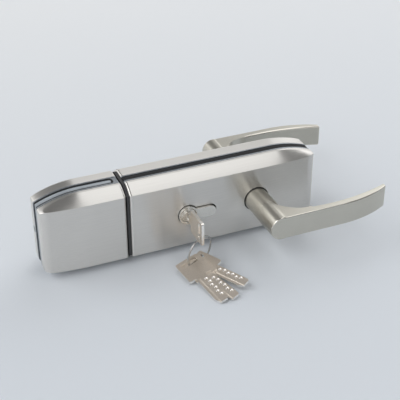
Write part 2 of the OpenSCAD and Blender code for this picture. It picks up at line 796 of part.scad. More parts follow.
module lever_grub_screws() {
    color(steel) both_levers() translate([0, grub_v, 0]) difference() {
        translate([0, 0, -neck_r + 0.2]) cylinder(r = m5 / 2, h = neck_r - 0.2 - spindle_w / 2 - run_fit);
        translate([0, 0, -neck_r - 0.5]) hex_socket();
    }
}
module spindle() {
    w = [-1, 1] * spindle_w / 2;
    color(steel) box(lever_x * [1, 1] + w, [front_face - spindle_in, rear_face + spindle_in], w);
}

// Cylinder
module at_cylinder() {
    translate([cylinder_x, 0, 0]) children();
}
// Cone that opens a bore of radius r by w at its mouth, with its axis along Z into the bore
module chamfer(r, w) {
    translate([0, 0, -1]) cylinder(r1 = r + w + 1, r2 = r - 0.1, h = w + 1.1);
}
// Plug from its chamfered outer face to its inner end
module plug(face, inner) {
    s = sign(inner - face);
    intersection() {
        rod_y(plug_r, [min(face, inner), max(face, inner)]);
        translate([0, face, 0]) rotate([-90 * s, 0, 0])
            cylinder(r1 = plug_r - plug_chamfer, r2 = plug_r - plug_chamfer + s * (inner - face) + 1,
                h = s * (inner - face) + 1);
    }
}
module keyway(y) {
    box([-keyway_w / 2, keyway_w / 2], y, key_z * [1, 1] + [-1, 1] * (blade_w / 2 + blade_play));
}
module cylinder_body() {
    color(nickel) at_cylinder() difference() {
        prism_y([cyl_front, cyl_rear]) euro_profile(0);
        rod_y(plug_r + run_fit, [cyl_front - 1, cyl_rear + 1]);
        for (y = [cyl_front, cyl_rear]) translate([0, y, 0]) rotate([y < 0 ? -90 : 90, 0, 0])
            chamfer(plug_r + run_fit, plug_chamfer);
        rod_y(cam_r + 0.3, [cam_y - cam_slot / 2, cam_y + cam_slot / 2]);
        translate([fix_x, cam_y, -web_w / 2 + 1]) cylinder(r = m5 / 2 + thread_fit, h = web_w);
    }
}
module front_plug() {
    inner = cam_y - cam_slot / 2 - seat_fit;
    color(brass) at_cylinder() difference() {
        union() {
            plug(cyl_front + plug_sunk, inner);
            rod_y(tongue_r, [inner - 0.5, cam_y - 0.2]);
        }
        keyway([cyl_front, cam_y - 1.5]);
    }
}
module rear_plug() {
    inner = cam_y + cam_slot / 2 + seat_fit;
    color(brass) at_cylinder() difference() {
        union() {
            plug(cyl_rear - plug_sunk, inner);
            rod_y(tongue_r, [cam_y + 0.2, inner + 0.5]);
        }
        keyway([cam_y + 1.5, cyl_rear]);
    }
}
module cylinder_cam() {
    color(steel) at_cylinder() difference() {
        prism_y([cam_y - cam_t / 2, cam_y + cam_t / 2]) {
            circle(cam_hub_r);
            intersection() {
                circle(cam_r);
                translate([0, -cam_nose_w / 2]) square([cam_r, cam_nose_w]);
            }
        }
        rod_y(tongue_r + run_fit, [cam_y - cam_t, cam_y + cam_t]);
    }
}
module cylinder_screw() {
    color(steel) translate([cylinder_x + fix_x, cam_y, 0]) difference() {
        translate([0, 0, 1.5 - web_w / 2]) cylinder(r = m5 / 2, h = case_z + web_w / 2 - 1.7);
        translate([0, 0, case_z - 2.5]) hex_socket();
    }
}

// Keys, flat on the XY plane with the bow's outer edge at X = 0 and the blade along X
module key_outline() {
    h = blade_w / 2;
    r = bow_corner;
    difference() {
        union() {
            translate([r, -bow_w / 2]) square([bow_len - 2 * r, bow_w]);
            translate([0, r - bow_w / 2]) square([bow_len, bow_w - 2 * r]);
            for (x = [r, bow_len - r], y = [-1, 1]) translate([x, y * (bow_w / 2 - r)]) circle(r);
            polygon([[bow_len - 1, -h], [bow_len + blade_len - 5, -h], [bow_len + blade_len, -0.55 * h],
                [bow_len + blade_len, 0.8 * h], [bow_len + blade_len - 2, h], [bow_len - 1, h]]);
        }
        translate([key_slot_at, 0]) key_slot_outline();
    }
}
module key_slot_outline() {
    r = key_slot[0] / 2 - 0.4;
    translate([-r, -key_slot[1] / 2 + r]) square([2 * r, key_slot[1] - 2 * r]);
    for (y = [-1, 1]) translate([0, y * (key_slot[1] / 2 - r)]) circle(r);
    translate([-key_slot[0] / 2, -key_slot[1] / 2 + 1]) square([key_slot[0], key_slot[1] - 2]);
}
module flat_key() {
    difference() {
        translate([0, 0, -key_t / 2]) linear_extrude(key_t) key_outline();
        for (s = [-1, 1], i = [0:5])
            translate([bow_len + dimple_from + dimple_pitch * i, s * dimple_rows[i % 2], s * key_t / 2])
            mirror([0, 0, s < 0 ? 1 : 0]) translate([0, 0, -dimple_deep])
            cylinder(r1 = dimple_r / 2, r2 = dimple_r + 0.1, h = dimple_deep + 0.1);
        for (s = [-1, 1]) box([bow_len + 1, bow_len + blade_len + 1],
            -s * groove_at * [1, 1] + groove_w / 2 * [-1, 1],
            s > 0 ? [key_t / 2 - groove_deep, key_t] : [-key_t, groove_deep - key_t / 2]);
    }
}
module door_key() {
    color(nickel) translate([cylinder_x, cyl_front - shoulder_out - bow_len, key_z])
        rotate([90, 0, 90]) flat_key();
}

// Ring through the key's slot, and a point of its wire at an angle from its foot
module at_ring() {
    translate(ring_top) rotate([0, 0, ring_yaw]) rotate([ring_lean, 0, 0])
        translate([0, 0, -ring_r]) children();
}
function ring_point(a) = let (x = -ring_r * sin(a), z = -ring_r * (1 + cos(a)),
        y = -z * sin(ring_lean), h = z * cos(ring_lean))
    ring_top + [x * cos(ring_yaw) - y * sin(ring_yaw), x * sin(ring_yaw) + y * cos(ring_yaw), h];
module key_ring() {
    color(steel) at_ring() rotate([90, 0, 0]) rotate_extrude() translate([ring_r, 0])
        circle(ring_wire / 2, $fn = 16);
}
module loose_key(k) {
    color(nickel) translate(ring_point(k[0])) rotate([k[5], k[4], k[3]])
        translate([-k[2], -k[1], 0]) flat_key();
}
module loose_key_1() {
    loose_key(LOOSE_KEYS[0]);
}
module loose_key_2() {
    loose_key(LOOSE_KEYS[1]);
}
module loose_key_3() {
    loose_key(LOOSE_KEYS[2]);
}

// Strike box
module strike_box() {
    x0 = strike_plate_t + run_fit;
    color(zinc) at_strike() difference() {
        box([x0, strike_plate_t + strike_box_len], [case_front, case_rear], [-case_z, case_z]);
        box([x0 - 1, latch_out + 1], [bolt_y - bolt_w / 2 - 1, bolt_y + bolt_w / 2 + 1],
            [latch_z - bolt_h / 2 - 1, latch_z + bolt_h / 2 + 1]);
        box([x0 - 1, bolt_throw + 2], [bolt_y - bolt_w / 2 - 1, bolt_y + bolt_w / 2 + 1],
            [dead_z - bolt_h / 2 - 1, dead_z + bolt_h / 2 + 1]);
        end_screws(0, m4, strike_screw_len + run_fit, true);
    }
}
module strike_plate() {
    color(black) at_strike() difference() {
        union() {
            prism_x([0, strike_plate_t]) polygon(end_outline(plate_inset + run_fit));
            box([0, strike_plate_t], [slot_front + run_fit, strike_rear - run_fit],
                [-1, 1] * (rim_z - gap_round));
        }
        bolt_ways([-1, strike_plate_t + 1], 1);
        end_screws(0, m4, strike_screw_len + 1, true);
    }
}
module strike_plate_screws() {
    color(steel) at_strike() end_screws(0, m4, strike_screw_len, false);
}

front_cover();
rear_cover();
front_base_plate();
rear_base_plate();
front_gasket();
rear_gasket();
clamp_screws();
clamp_nuts();
cover_screw();
forend();
forend_screws();
lock_case();
case_lid();
lid_screws();
latch_bolt();
latch_spring();
dead_bolt();
follower();
return_spring();
spindle();
front_lever();
rear_lever();
front_lever_bush();
rear_lever_bush();
lever_clips();
lever_grub_screws();
cylinder_body();
front_plug();
rear_plug();
cylinder_cam();
cylinder_screw();
door_key();
key_ring();
loose_key_1();
loose_key_2();
loose_key_3();
strike_front_cover();
strike_rear_cover();
strike_front_plate();
strike_rear_plate();
strike_gasket();
strike_packing();
strike_clamp_screws();
strike_clamp_nuts();
strike_cover_screw();
strike_box();
strike_plate();
strike_plate_screws();
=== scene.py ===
"""Dresses the patch lock for a glass door: covers, levers, cylinder, keys, and the studio."""

import json
import math
from collections import namedtuple

import bmesh
import bpy
from mathutils import Matrix, Vector

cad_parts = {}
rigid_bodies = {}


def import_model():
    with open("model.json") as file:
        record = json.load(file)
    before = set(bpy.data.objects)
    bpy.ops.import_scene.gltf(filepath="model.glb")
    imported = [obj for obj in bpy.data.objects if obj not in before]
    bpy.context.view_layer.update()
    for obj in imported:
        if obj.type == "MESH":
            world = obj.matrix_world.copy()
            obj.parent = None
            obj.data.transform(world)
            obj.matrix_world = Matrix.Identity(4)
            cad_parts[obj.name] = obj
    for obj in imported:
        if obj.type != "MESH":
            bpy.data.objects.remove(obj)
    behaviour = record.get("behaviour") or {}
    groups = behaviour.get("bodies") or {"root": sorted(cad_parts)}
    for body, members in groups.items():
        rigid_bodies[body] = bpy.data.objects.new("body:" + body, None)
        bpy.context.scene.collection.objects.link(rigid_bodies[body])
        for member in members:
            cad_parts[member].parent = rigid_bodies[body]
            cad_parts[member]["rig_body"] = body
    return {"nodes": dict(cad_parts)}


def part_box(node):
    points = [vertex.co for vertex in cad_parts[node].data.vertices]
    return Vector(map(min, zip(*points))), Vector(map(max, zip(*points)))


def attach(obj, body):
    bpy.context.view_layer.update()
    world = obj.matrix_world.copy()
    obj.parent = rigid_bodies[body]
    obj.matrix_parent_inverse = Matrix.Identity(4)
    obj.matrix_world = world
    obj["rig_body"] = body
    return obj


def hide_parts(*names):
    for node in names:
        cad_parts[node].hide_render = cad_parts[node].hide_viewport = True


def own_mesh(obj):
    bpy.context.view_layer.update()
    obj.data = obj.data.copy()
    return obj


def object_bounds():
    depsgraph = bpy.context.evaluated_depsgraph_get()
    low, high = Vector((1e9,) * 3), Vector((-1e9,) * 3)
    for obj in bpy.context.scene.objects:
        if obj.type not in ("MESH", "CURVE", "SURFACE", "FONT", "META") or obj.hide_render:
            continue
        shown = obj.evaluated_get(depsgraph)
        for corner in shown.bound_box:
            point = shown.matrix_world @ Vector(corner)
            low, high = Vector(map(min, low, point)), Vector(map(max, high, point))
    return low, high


bl_info = {
    "name": "Glass door lock",
    "version": (1, 0, 0),
    "blender": (4, 5, 0),
    "location": "View3D > Sidebar > Door Lock",
    "description": "Surfaces, edges and studio for a patch lock with levers, cylinder and keys",
    "category": "Object",
}

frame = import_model()
NODES = frame["nodes"]
CAD_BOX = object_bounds()
MM = 0.001
FINISHES = {}

# Sizes of the solids in mm: the edges of the slots, the faces and the lengths
SLOT_FRONT = -3.2
SLOT_REAR = 3.2
STRIKE_REAR = 5.2
FRONT_FACE = -18.4
REAR_FACE = 26.2
DOOR_GAP = 3.0
LOCK_LEN = 170.0
STRIKE_LEN = 70.2

# Section of the covers in mm
RIM_Z = 36.05
CREASE_Z = 29.15
WALL = 1.6
OPEN_AT = 1.65  # where the rim starts, off the edge of the slot
GAP_ROUND = 2.2  # rounding at the door gap
FAR_ROUND = 1.0  # rounding at the other end
LEAST_ROUND = 0.2  # least rounding of the inside
LIP_ROUND = 0.3  # rounding of the rim beside the slot
FACE_DRAW = 3.6  # how far the face comes in over its last stretch
FACE_DRAW_RUN = 45.0
FALL_RUN = 9.0  # stretch at the end over which the face falls off to the rim
SWELL = 0.5  # how far the bevel between rim and face swells
SWELL_DEPTH = 0.5  # its share in depth
SWELL_HEIGHT = 0.85  # its share in height
BEVEL_STEPS = 8
LEAST_DEPTH = 0.4  # least depth and height of the bevel
LEAST_HEIGHT = 0.3
SHOULDER_SHIFT = 0.3  # how far the inside's creases lie in, as a share of the wall
CREASE_SHIFT = 0.55
FILLET_SHARE = 0.45  # most that a fillet takes of the edge beside it
NEAREST = 0.05  # least distance between two sections

# For each cover: length, drop of the rim and its run, depth, depth of the rim, how much deeper the
# rim is at the far end, fall of the face, whether the crease follows the rim, the edge of the slot,
# and the side: -1 in front, 1 behind
Cover = namedtuple("Cover", "length dip run depth rim_depth spread fall follow edge out")
COVERS = {
    "front_cover": Cover(LOCK_LEN, 7.0, 36.0, 15.2, 4.3, 2.3, 2.4, 0, SLOT_FRONT, -1),
    "rear_cover": Cover(LOCK_LEN, 7.0, 36.0, 23.0, 12.0, 0.0, 8.0, 1, SLOT_REAR, 1),
    "strike_front_cover": Cover(STRIKE_LEN, 8.4, 37.0, 15.2, 4.3, 2.3, 2.4, 0, SLOT_FRONT, -1),
    "strike_rear_cover": Cover(STRIKE_LEN, 8.4, 37.0, 21.0, 10.0, 0.0, 8.0, 1, STRIKE_REAR, 1),
}

# Openings in the covers in mm
MOUTH = {-1: (-12.3, 0.0), 1: (0.0, 18.3)}  # span in Y of the mouth at the door gap, by side
MOUTH_Z = 21.3  # half its height
POCKET_RIM = 2.9  # metal left round the recess of the strike plate
POCKET_DEEP = 2.1
HOLE_PLAY = 0.45  # play round the cylinder, and more of it at the web's end
HOLE_LATE = 0.7
THROUGH = 4  # how far a cutter reaches to either side of a face
SINK = [(1.5, -4), (1.5, -1.5), (3, 0), (3, 1)]  # bore and sunk head of the cover screw
SINK_OFF = 5.2  # from the slot

# Cylinder and keys in mm
CYLINDER_X = 50.0
CYLINDER_R = 8.5
CYLINDER_WEB = 5.0  # half the web's width
CYLINDER_REACH = 19.5  # centre of the web's rounded end, from the plug's
CYLINDER_EDGE = 0.2
PLUG_EDGE = 0.12
PLUG_FACES = {"front_plug": (-20.6, 90), "rear_plug": (28.4, -90)}  # Y of the face, and turn
PLUG_GROOVE = [(4.3, 0.3), (4.7, -0.3), (4.95, -0.3), (5.35, 0.3)]
KEYS = ("door_key", "loose_key_1", "loose_key_2", "loose_key_3")

# The closed end of the strike's slot in mm
WEB_LONG = 2.4
WEB_START = -4  # inside the strike plate
WEB_END = -5.1 - WEB_LONG
WEB_ROUND = 3
WEB_LEVELS = {"top": (28, 35.7), "bottom": (-35.7, -28)}
WEB_EDGE = 0.4
PACKING_END = -12  # lining and packing to the right of this are shortened
PLATE_EDGE = 0.3

# Lever sizes in mm, in a frame with X along the arm and Y out of the face
LEVER_X = 113.0
LEVER_OUT = 50.1
NECK_R = 10.5
NECK_IN = 5.2
RIM_ROUND = 1
BEND_R = 18.0  # the concave bend from the neck into the arm
BEND_START = NECK_R - 0.1
BEND_X = BEND_START + BEND_R
BEND_WIDE = 9  # how far the cutter of the bend reaches past it
INNER_R = 175.0  # the arc of the arm's inner face, and its crest
CREST_X = 47.0
NEAR_V = LEVER_OUT - 6.9
BEND_V = NEAR_V - INNER_R + math.sqrt(INNER_R**2 - (BEND_X - CREST_X) ** 2) - BEND_R
GROOVE_DEEP = 0.7  # groove of the retaining clip
GROOVE = (-3.45, -4.55)
SOCKET_HALF = 4.05  # socket of the spindle
SOCKET = (-6.2, 22)
GRUB = [(2.55, -11.5), (2.55, 0)]  # bore of the grub screw, from the neck's middle down
GRUB_OUT = 8
BUSH_R = 11.4
BUSH_IN = -3.4
BUSH_OUT = 0.15
BUSH_PLAY = 0.06
BUSH_SEAT = 0.05
BUSH_CHAMFER = 0.3
ARM = {
    "Room": 0.05,
    "Edge": 1.0 * MM,
    "Inner Edge": 1.7 * MM,
    "From": -2.4 * MM,
    "Reach": 104.0 * MM,
    "Height": 20.4 * MM,
    "Out": LEVER_OUT * MM,
    "Near Face": NEAR_V * MM,
    "Inner Radius": INNER_R * MM,
    "Crest": CREST_X * MM,
    "Bend End": BEND_X * MM,
    "Bend Face": BEND_V * MM,
    "Straight To": 57.0 * MM,
    "Outer Radius": 98.0 * MM,
    "Tip": 1.5 * MM,
}
ARM_STEPS = 72
ARM_EDGE_STEPS = 6
TIP_SHARE = 0.8  # how far the tip's rounding brings the sides in

# Split ring and springs
RING = {"Radius": 14.0 * MM, "Wire": 0.85 * MM, "Height": 0.9 * MM, "Turns": 1.97, "Flat": 0.55}
RING_TOP = Vector((50.3, -45.0, -7.14)) * MM
COIL_STEPS = 72
WIRE_SIDES = 12
SPRING_TURNS = 9.0
SPRINGS = {
    # Coil radius and wire radius in mm, the joint that closes the coil, its fixed end, and the
    # share of its length left at the joint's limit
    "latch_spring": (3.28, 0.36, "latch_draw", 34.0, 0.49),
    "return_spring": (2.58, 0.31, "lever_turn", 88.0, 0.44),
}

# Studio: the camera as it was fitted to the photo's edges, the paper, and the soft boxes. Each part
# of the sky has its brightness by how far a direction leans to the right, from -1 to 1
FOCAL_PX = 962.5  # focal length and width of the photo in pixels
PHOTO_PX = 400
SENSOR = 36
CAMERA_TURN = (22.70, 32.18, -0.11)  # to the right, down and over, in degrees
CAMERA_AT = (-0.2001, -0.6422, 0.4369)
FLOOR_HALF = 3.0
# Painted light: the floor's colour grows paler towards the back over this span
FLOOR_FADE = (-0.1, 0.6)  # where the floor grows paler, in Y
FIBRE = 10 / 9  # mm between the paper's fibres, far coarser than real ones, so that they show
FIBRE_RELIEF = 0.02
PAPER_ROUGHNESS = 0.6
BACKDROP = "E6ECF1"
BRIGHTEST = 2.6
SKY = {
    "front low": ((0.27, 0.6), (0.33, 0.1)),
    "back low": ((-1.0, 0.8), (1.0, 0.8)),
    "front middle": ((-0.45, 1.5), (-0.35, 0.75), (0.15, 0.75), (0.25, 0.33)),
    "back middle": (
        (-0.45, 1.5), (-0.35, 0.25), (0.1, 0.25), (0.2, 0.5), (0.42, 0.5), (0.48, 1.8),
    ),
    "top": ((-0.45, 2.6), (-0.4, 0.2), (0.13, 0.15), (0.175, 1.3), (0.44, 1.25), (0.465, 0.2)),
}
FRONT_TO_BACK = (-0.05, 0.05)
LOW_TO_MIDDLE = (0.32, 0.38)
MIDDLE_TO_TOP = (0.67, 0.73)

# Grain: its stretch along X, Y and Z, the broad clouding in mm and its share of the tone, and the
# stretches of the pattern over which colour, roughness and rubbed edges change
LONG = (60, 1, 1)
FLAT_LONG = (60, 1, 60)
EVEN = (1, 1, 1)
CLOUD = 200 / 9
CLOUD_SHARE = 0.35
TONE = (0.42, 0.85)
DULL = (0.4, 0.95)
RUBBED = (0.52, 0.6)

# Faces that a cutter leaves bright, the levers' rounded edges with a painted highlight in a
# brighter colour, and the turn from along the brush to across
MILLED_AND_HIGHLIT = "milled"
CUT_ROUGHNESS = 0.14
ACROSS = 0.25  # of a turn
FLAT_WITHIN = 0.97  # a face whose normal is as near as this to a flat's isn't milled
# The levers' rounded edges and the rim of the neck get a painted highlight: a brighter colour, with
# the lower roughness of buffing
EDGE_TILT = 0.2  # least slope of a face on a lever's edge, in Y and in Z
BUFFED_AND_HIGHLIT_DEEP = 3  # mm of the neck's outer end

# Meshes: points nearer than this in metres become one, and so do flats within this angle
WELD = 1e-5
MERGE = 2e-6
ONE_FLAT = math.radians(0.1)
SHARP_OVER = 8  # degrees by which the angle of sharp shading is over that of easing
BORE_SIDES = 48
RING_SIDES = 96
NECK_SIDES = 128
BEND_SIDES = 160


def linear(code):
    """Linear RGBA of an sRGB hex value."""
    parts = [int(code[i : i + 2], 16) / 255 for i in (0, 2, 4)]
    return [c / 12.92 if c <= 0.04045 else ((c + 0.055) / 1.055) ** 2.4 for c in parts] + [1.0]


def node(tree, kind, inputs=(), stops=(), **settings):
    """Adds a node with its settings and links.

    Inputs are given by name or in order. Each takes a value, an output of another node, or that
    node for its first output. Stops are places on a colour ramp with hex values or greys."""
    made = tree.nodes.new(kind)
    for key, value in settings.items():
        setattr(made, key, value)
    for key, value in inputs.items() if isinstance(inputs, dict) else enumerate(inputs):
        if isinstance(value, bpy.types.Node):
            value = value.outputs[0]
        if isinstance(value, bpy.types.NodeSocket):
            tree.links.new(value, made.inputs[key])
        else:
            made.inputs[key].default_value = value
    if stops:
        band = made.color_ramp
        while len(band.elements) < len(stops):
            band.elements.new(0.5)
        for element, (place, value) in zip(band.elements, stops):
            element.position = place
            element.color = linear(value) if isinstance(value, str) else (value, value, value, 1)
    return made


# Materials


def finish_of(
    name, colour, deep, metallic, roughness, spread, grain, height,
    cut=None, wear=None, ior=None, brushed=0.0,
):
    """A surface whose colour, roughness and bump follow one grain.

    grain is (size across in mm, stretch along X, Y, Z): the noise runs long where stretch is large.
    deep is the colour in the grain's hollows, which on the packing is painted shade in its grooves,
    height their depth in mm, spread how much roughness follows the grain, cut the colour of faces
    marked as milled, which on the levers' rounded edges is a painted highlight, wear the colour
    that edges rub to, and brushed how much further reflections spread across the X direction than
    along it."""
    made = bpy.data.materials.new(name)
    made.use_nodes = True
    tree = made.node_tree
    tree.nodes.clear()
    size, stretch = grain
    where = node(tree, "ShaderNodeTexCoord").outputs["Object"]
    scale = [1 / (size * MM * s) for s in stretch]
    placed = node(tree, "ShaderNodeMapping", {"Vector": where, "Scale": scale})
    noise = "ShaderNodeTexNoise"
    fine = node(tree, noise, {"Vector": placed, "Scale": 1.0, "Detail": 3.0}).outputs["Fac"]
    clouds = {"Vector": where, "Scale": 1 / (CLOUD * MM), "Detail": 4.0, "Roughness": 0.6}
    broad = node(tree, noise, clouds).outputs["Fac"]
    parts = (broad, CLOUD_SHARE, fine)
    mixed = node(tree, "ShaderNodeMath", parts, operation="MULTIPLY_ADD")
    shades = tuple(zip(TONE, (deep, colour)))
    base = node(tree, "ShaderNodeValToRGB", {"Fac": mixed}, shades).outputs["Color"]
    if wear:
        edge = node(tree, "ShaderNodeNewGeometry").outputs["Pointiness"]
        sharp = tuple(zip(RUBBED, (0.0, 1.0)))
        rubbed = node(tree, "ShaderNodeValToRGB", {"Fac": edge}, sharp).outputs["Color"]
        colours = {"Factor": rubbed, "A": base, "B": linear(wear)}
        base = node(tree, "ShaderNodeMix", colours, data_type="RGBA").outputs["Result"]
    dull = (mixed, *DULL, roughness - spread, roughness + spread)
    gloss = node(tree, "ShaderNodeMapRange", dull)
    # Marked faces take the cut colour: bright milled faces on the keys, and a painted highlight on
    # the levers' rounded edges
    if cut:
        mark = node(tree, "ShaderNodeAttribute", attribute_name=MILLED_AND_HIGHLIT).outputs["Fac"]
        colours = {"Factor": mark, "A": base, "B": linear(cut)}
        base = node(tree, "ShaderNodeMix", colours, data_type="RGBA").outputs["Result"]
        gloss = node(tree, "ShaderNodeMix", {"Factor": mark, "A": gloss, "B": CUT_ROUGHNESS})
    relief = node(
        tree, "ShaderNodeBump", {"Height": fine, "Strength": 1.0, "Distance": height * MM}
    )
    surface = {"Base Color": base, "Metallic": metallic, "Roughness": gloss, "Normal": relief}
    if ior:
        surface["IOR"] = ior
    if brushed:
        along = node(tree, "ShaderNodeCombineXYZ", (1.0,))
        surface["Anisotropic"] = brushed
        surface["Anisotropic Rotation"] = ACROSS
        surface["Tangent"] = node(
            tree,
            "ShaderNodeVectorTransform",
            (along,),
            vector_type="VECTOR",
            convert_from="OBJECT",
            convert_to="WORLD",
        )
    shader = node(tree, "ShaderNodeBsdfPrincipled", surface)
    node(tree, "ShaderNodeOutputMaterial", {"Surface": shader})
    return made


def materials():
    """All finishes of the lock, by short name. Grain finer than 0.4 mm wouldn't show, so it is
    drawn coarser than it is."""
    return {
        # Brushed along the lock: reflections run sharp along the lines and soft across them.
        # The lines are 0.12 mm apart, drawn at 0.5 mm
        "cover": finish_of(
            "stainless steel, brushed", "E3E1DD", "DDDBD7", 1.0, 0.30, 0.02,
            (0.5, LONG), 0.0008, brushed=1.0,
        ),
        # Satin plating over cast zinc: warm, even and soft, with edges buffed smoother and painted
        # a brighter colour as a painted highlight along them.
        # Its grain of 0.05 mm is drawn at 0.5 mm
        "lever": finish_of(
            "zinc alloy, satin nickel plated", "CECBC1", "C4C1B7", 1.0, 0.3, 0.03,
            (0.5, EVEN), 0.0015, cut="E2DFD6",
        ),
        # Stamped and handled: warm grey with fine scratches, and bright where it was milled.
        # Scratches of 0.05 mm are drawn at 0.4 mm
        "key": finish_of(
            "nickel silver, stamped", "F6ECE0", "DCD1C4", 1.0, 0.38, 0.05,
            (0.4, EVEN), 0.003, cut="FAF7F2",
        ),
        # Turned and satin plated: a clearer reflection than the levers', its grain drawn at 0.4 mm
        "cylinder": finish_of(
            "brass, satin nickel plated", "E6E4DE", "D8D6D0", 1.0, 0.22, 0.04,
            (0.4, EVEN), 0.002,
        ),
        # Drawn through a die: black and dull, with faint lines along the strip
        "rubber": finish_of(
            "synthetic rubber, extruded", "26282B", "17181A", 0.0, 0.75, 0.08,
            (0.8, LONG), 0.02, ior=1.5,
        ),
        # Moulded with a fine spark texture: black with a soft sheen
        "nylon": finish_of(
            "nylon, moulded", "222426", "151617", 0.0, 0.5, 0.06, (0.6, EVEN), 0.01, ior=1.53
        ),
        # Drawn strip with ribs of 1.3 mm, pale on the ridges, with painted shade in the darker
        # grooves along the slot
        "packing": finish_of(
            "soft vinyl, extruded", "B9C1C7", "6F767D", 0.0, 0.6, 0.05,
            (1.3, FLAT_LONG), 0.05, ior=1.53,
        ),
        # Black oxide over steel: dark with a low sheen, and rubbed grey at the edges
        "black_steel": finish_of(
            "mild steel, black oxide", "1D1E20", "101112", 0.6, 0.5, 0.08,
            (0.5, EVEN), 0.006, wear="4A4A4B",
        ),
        # Drawn wire, plated: bright, with narrow reflections round it
        "wire": finish_of(
            "spring steel, nickel plated", "C8C8C6", "9C9C99", 1.0, 0.2, 0.05,
            (0.5, EVEN), 0.003,
        ),
        # Barrel plated: cool grey with a clouded grain of 1.5 mm
        "zinc": finish_of(
            "mild steel, zinc plated", "B3B8BD", "8F959B", 1.0, 0.42, 0.1,
            (1.5, EVEN), 0.006,
        ),
        # Pressed from powder, then plated: grey and slightly rough, its pores drawn at 0.6 mm
        "bolt": finish_of(
            "sintered steel, nickel plated", "B5B4AE", "92918B", 1.0, 0.35, 0.08,
            (0.6, EVEN), 0.006,
        ),
    }


# Nodes that keep their own solids, by finish
FITTINGS = {
    "zinc": [
        "front_base_plate", "rear_base_plate", "strike_front_plate", "strike_rear_plate",
        "lock_case", "case_lid", "strike_box", "clamp_screws", "clamp_nuts", "forend_screws",
        "lid_screws", "cover_screw", "lever_clips", "lever_grub_screws", "cylinder_screw",
        "strike_clamp_screws", "strike_clamp_nuts", "strike_cover_screw", "strike_plate_screws",
    ],
    "rubber": ["front_gasket", "rear_gasket"],
    "black_steel": ["forend"],
    "wire": ["latch_spring", "return_spring"],
    "bolt": ["latch_bolt", "dead_bolt", "follower", "spindle", "cylinder_cam"],
}


# Shapes


def body_of(name):
    """The body that a CAD node moves with."""
    return NODES[name]["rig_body"]


def set_only(obj, material):
    """One material on all of an object's faces."""
    obj.data.materials.clear()
    obj.data.materials.append(material)
    for face in obj.data.polygons:
        face.material_index = 0


def linked(name, mesh):
    """A new object in the scene."""
    obj = bpy.data.objects.new(name, mesh)
    bpy.context.scene.collection.objects.link(obj)
    return obj


def solid(name, points, faces):
    """An object from points in mm, with its faces turned outwards."""
    shape = bmesh.new()
    corners = [shape.verts.new(Vector(p) * MM) for p in points]
    for face in faces:
        shape.faces.new([corners[i] for i in face])
    bmesh.ops.recalc_face_normals(shape, faces=shape.faces)
    mesh = bpy.data.meshes.new(name)
    shape.to_mesh(mesh)
    shape.free()
    return linked(name, mesh)


def lofted(name, rings):
    """A closed skin over rings of equally many points."""
    count = len(rings[0])
    faces = []
    for i in range(len(rings) - 1):
        here, there = i * count, (i + 1) * count
        for j in range(count):
            k = (j + 1) % count
            faces.append((here + j, here + k, there + k, there + j))
    last = (len(rings) - 1) * count
    faces += [tuple(range(count)), tuple(range(last, last + count))]
    return solid(name, [p for ring in rings for p in ring], faces)


def prism(name, outline, axis, low, high):
    """A flat outline drawn out along an axis: 0 for X, 1 for Y, 2 for Z."""
    rings = []
    for level in (low, high):
        ring = [list(p) for p in outline]
        for p in ring:
            p.insert(axis, level)
        rings.append(ring)
    return lofted(name, rings)


def spun(radius, height, turn, place):
    """A point turned about Z by a part of a full turn, then put in its place."""
    angle = 2 * math.pi * turn
    return place @ Vector((radius * math.cos(angle), radius * math.sin(angle), height))


def turned(name, profile, place, segments=RING_SIDES):
    """A profile of radius and height turned about Z, closed at both ends."""
    turns = [i / segments for i in range(segments)]
    return lofted(name, [[spun(r, h, turn, place) for turn in turns] for r, h in profile])


def turned_ring(name, outline, place, segments=RING_SIDES):
    """A closed outline of radius and height turned about Z, off the axis."""
    count = len(outline)
    points = [spun(r, h, i / segments, place) for i in range(segments) for r, h in outline]
    faces = []
    for i in range(segments):
        k = (i + 1) % segments
        for j in range(count):
            n = (j + 1) % count
            faces.append((i * count + j, k * count + j, k * count + n, i * count + n))
    return solid(name, points, faces)


def put(x, y, z, degrees=0, axis="X"):
    """A turn about an axis, then a move."""
    return Matrix.Translation((x, y, z)) @ Matrix.Rotation(math.radians(degrees), 4, axis)


def oblong(low_a, high_a, low_b, high_b):
    """Corners of a rectangle."""
    return [(low_a, low_b), (high_a, low_b), (high_a, high_b), (low_a, high_b)]


def arc(centre, radius, start, end, steps):
    """Points on a circle from one angle to another, in degrees."""
    angles = [math.radians(start + (end - start) * i / steps) for i in range(steps + 1)]
    return [(centre[0] + radius * math.cos(a), centre[1] + radius * math.sin(a)) for a in angles]


def joined(obj, other, operation):
    """Cuts a solid out of another or adds it, and removes it."""
    modifier = obj.modifiers.new("joined", "BOOLEAN")
    modifier.operation = operation
    modifier.solver = "EXACT"
    modifier.object = other
    result = baked(obj)
    bpy.data.objects.remove(other)
    return result


def baked(obj):
    """The object's evaluated mesh as a plain object of the same name, in place of it."""
    name = obj.name
    graph = bpy.context.evaluated_depsgraph_get()
    mesh = bpy.data.meshes.new_from_object(obj.evaluated_get(graph), depsgraph=graph)
    bpy.data.objects.remove(obj)
    mesh.name = name
    return linked(name, mesh)


def welded(obj):
    """Joins points that lie closer than a hundredth of a millimetre."""
    shape = bmesh.new()
    shape.from_mesh(obj.data)
    bmesh.ops.remove_doubles(shape, verts=shape.verts, dist=WELD)
    bmesh.ops.dissolve_degenerate(shape, dist=WELD, edges=shape.edges)
    shape.to_mesh(obj.data)
    shape.free()


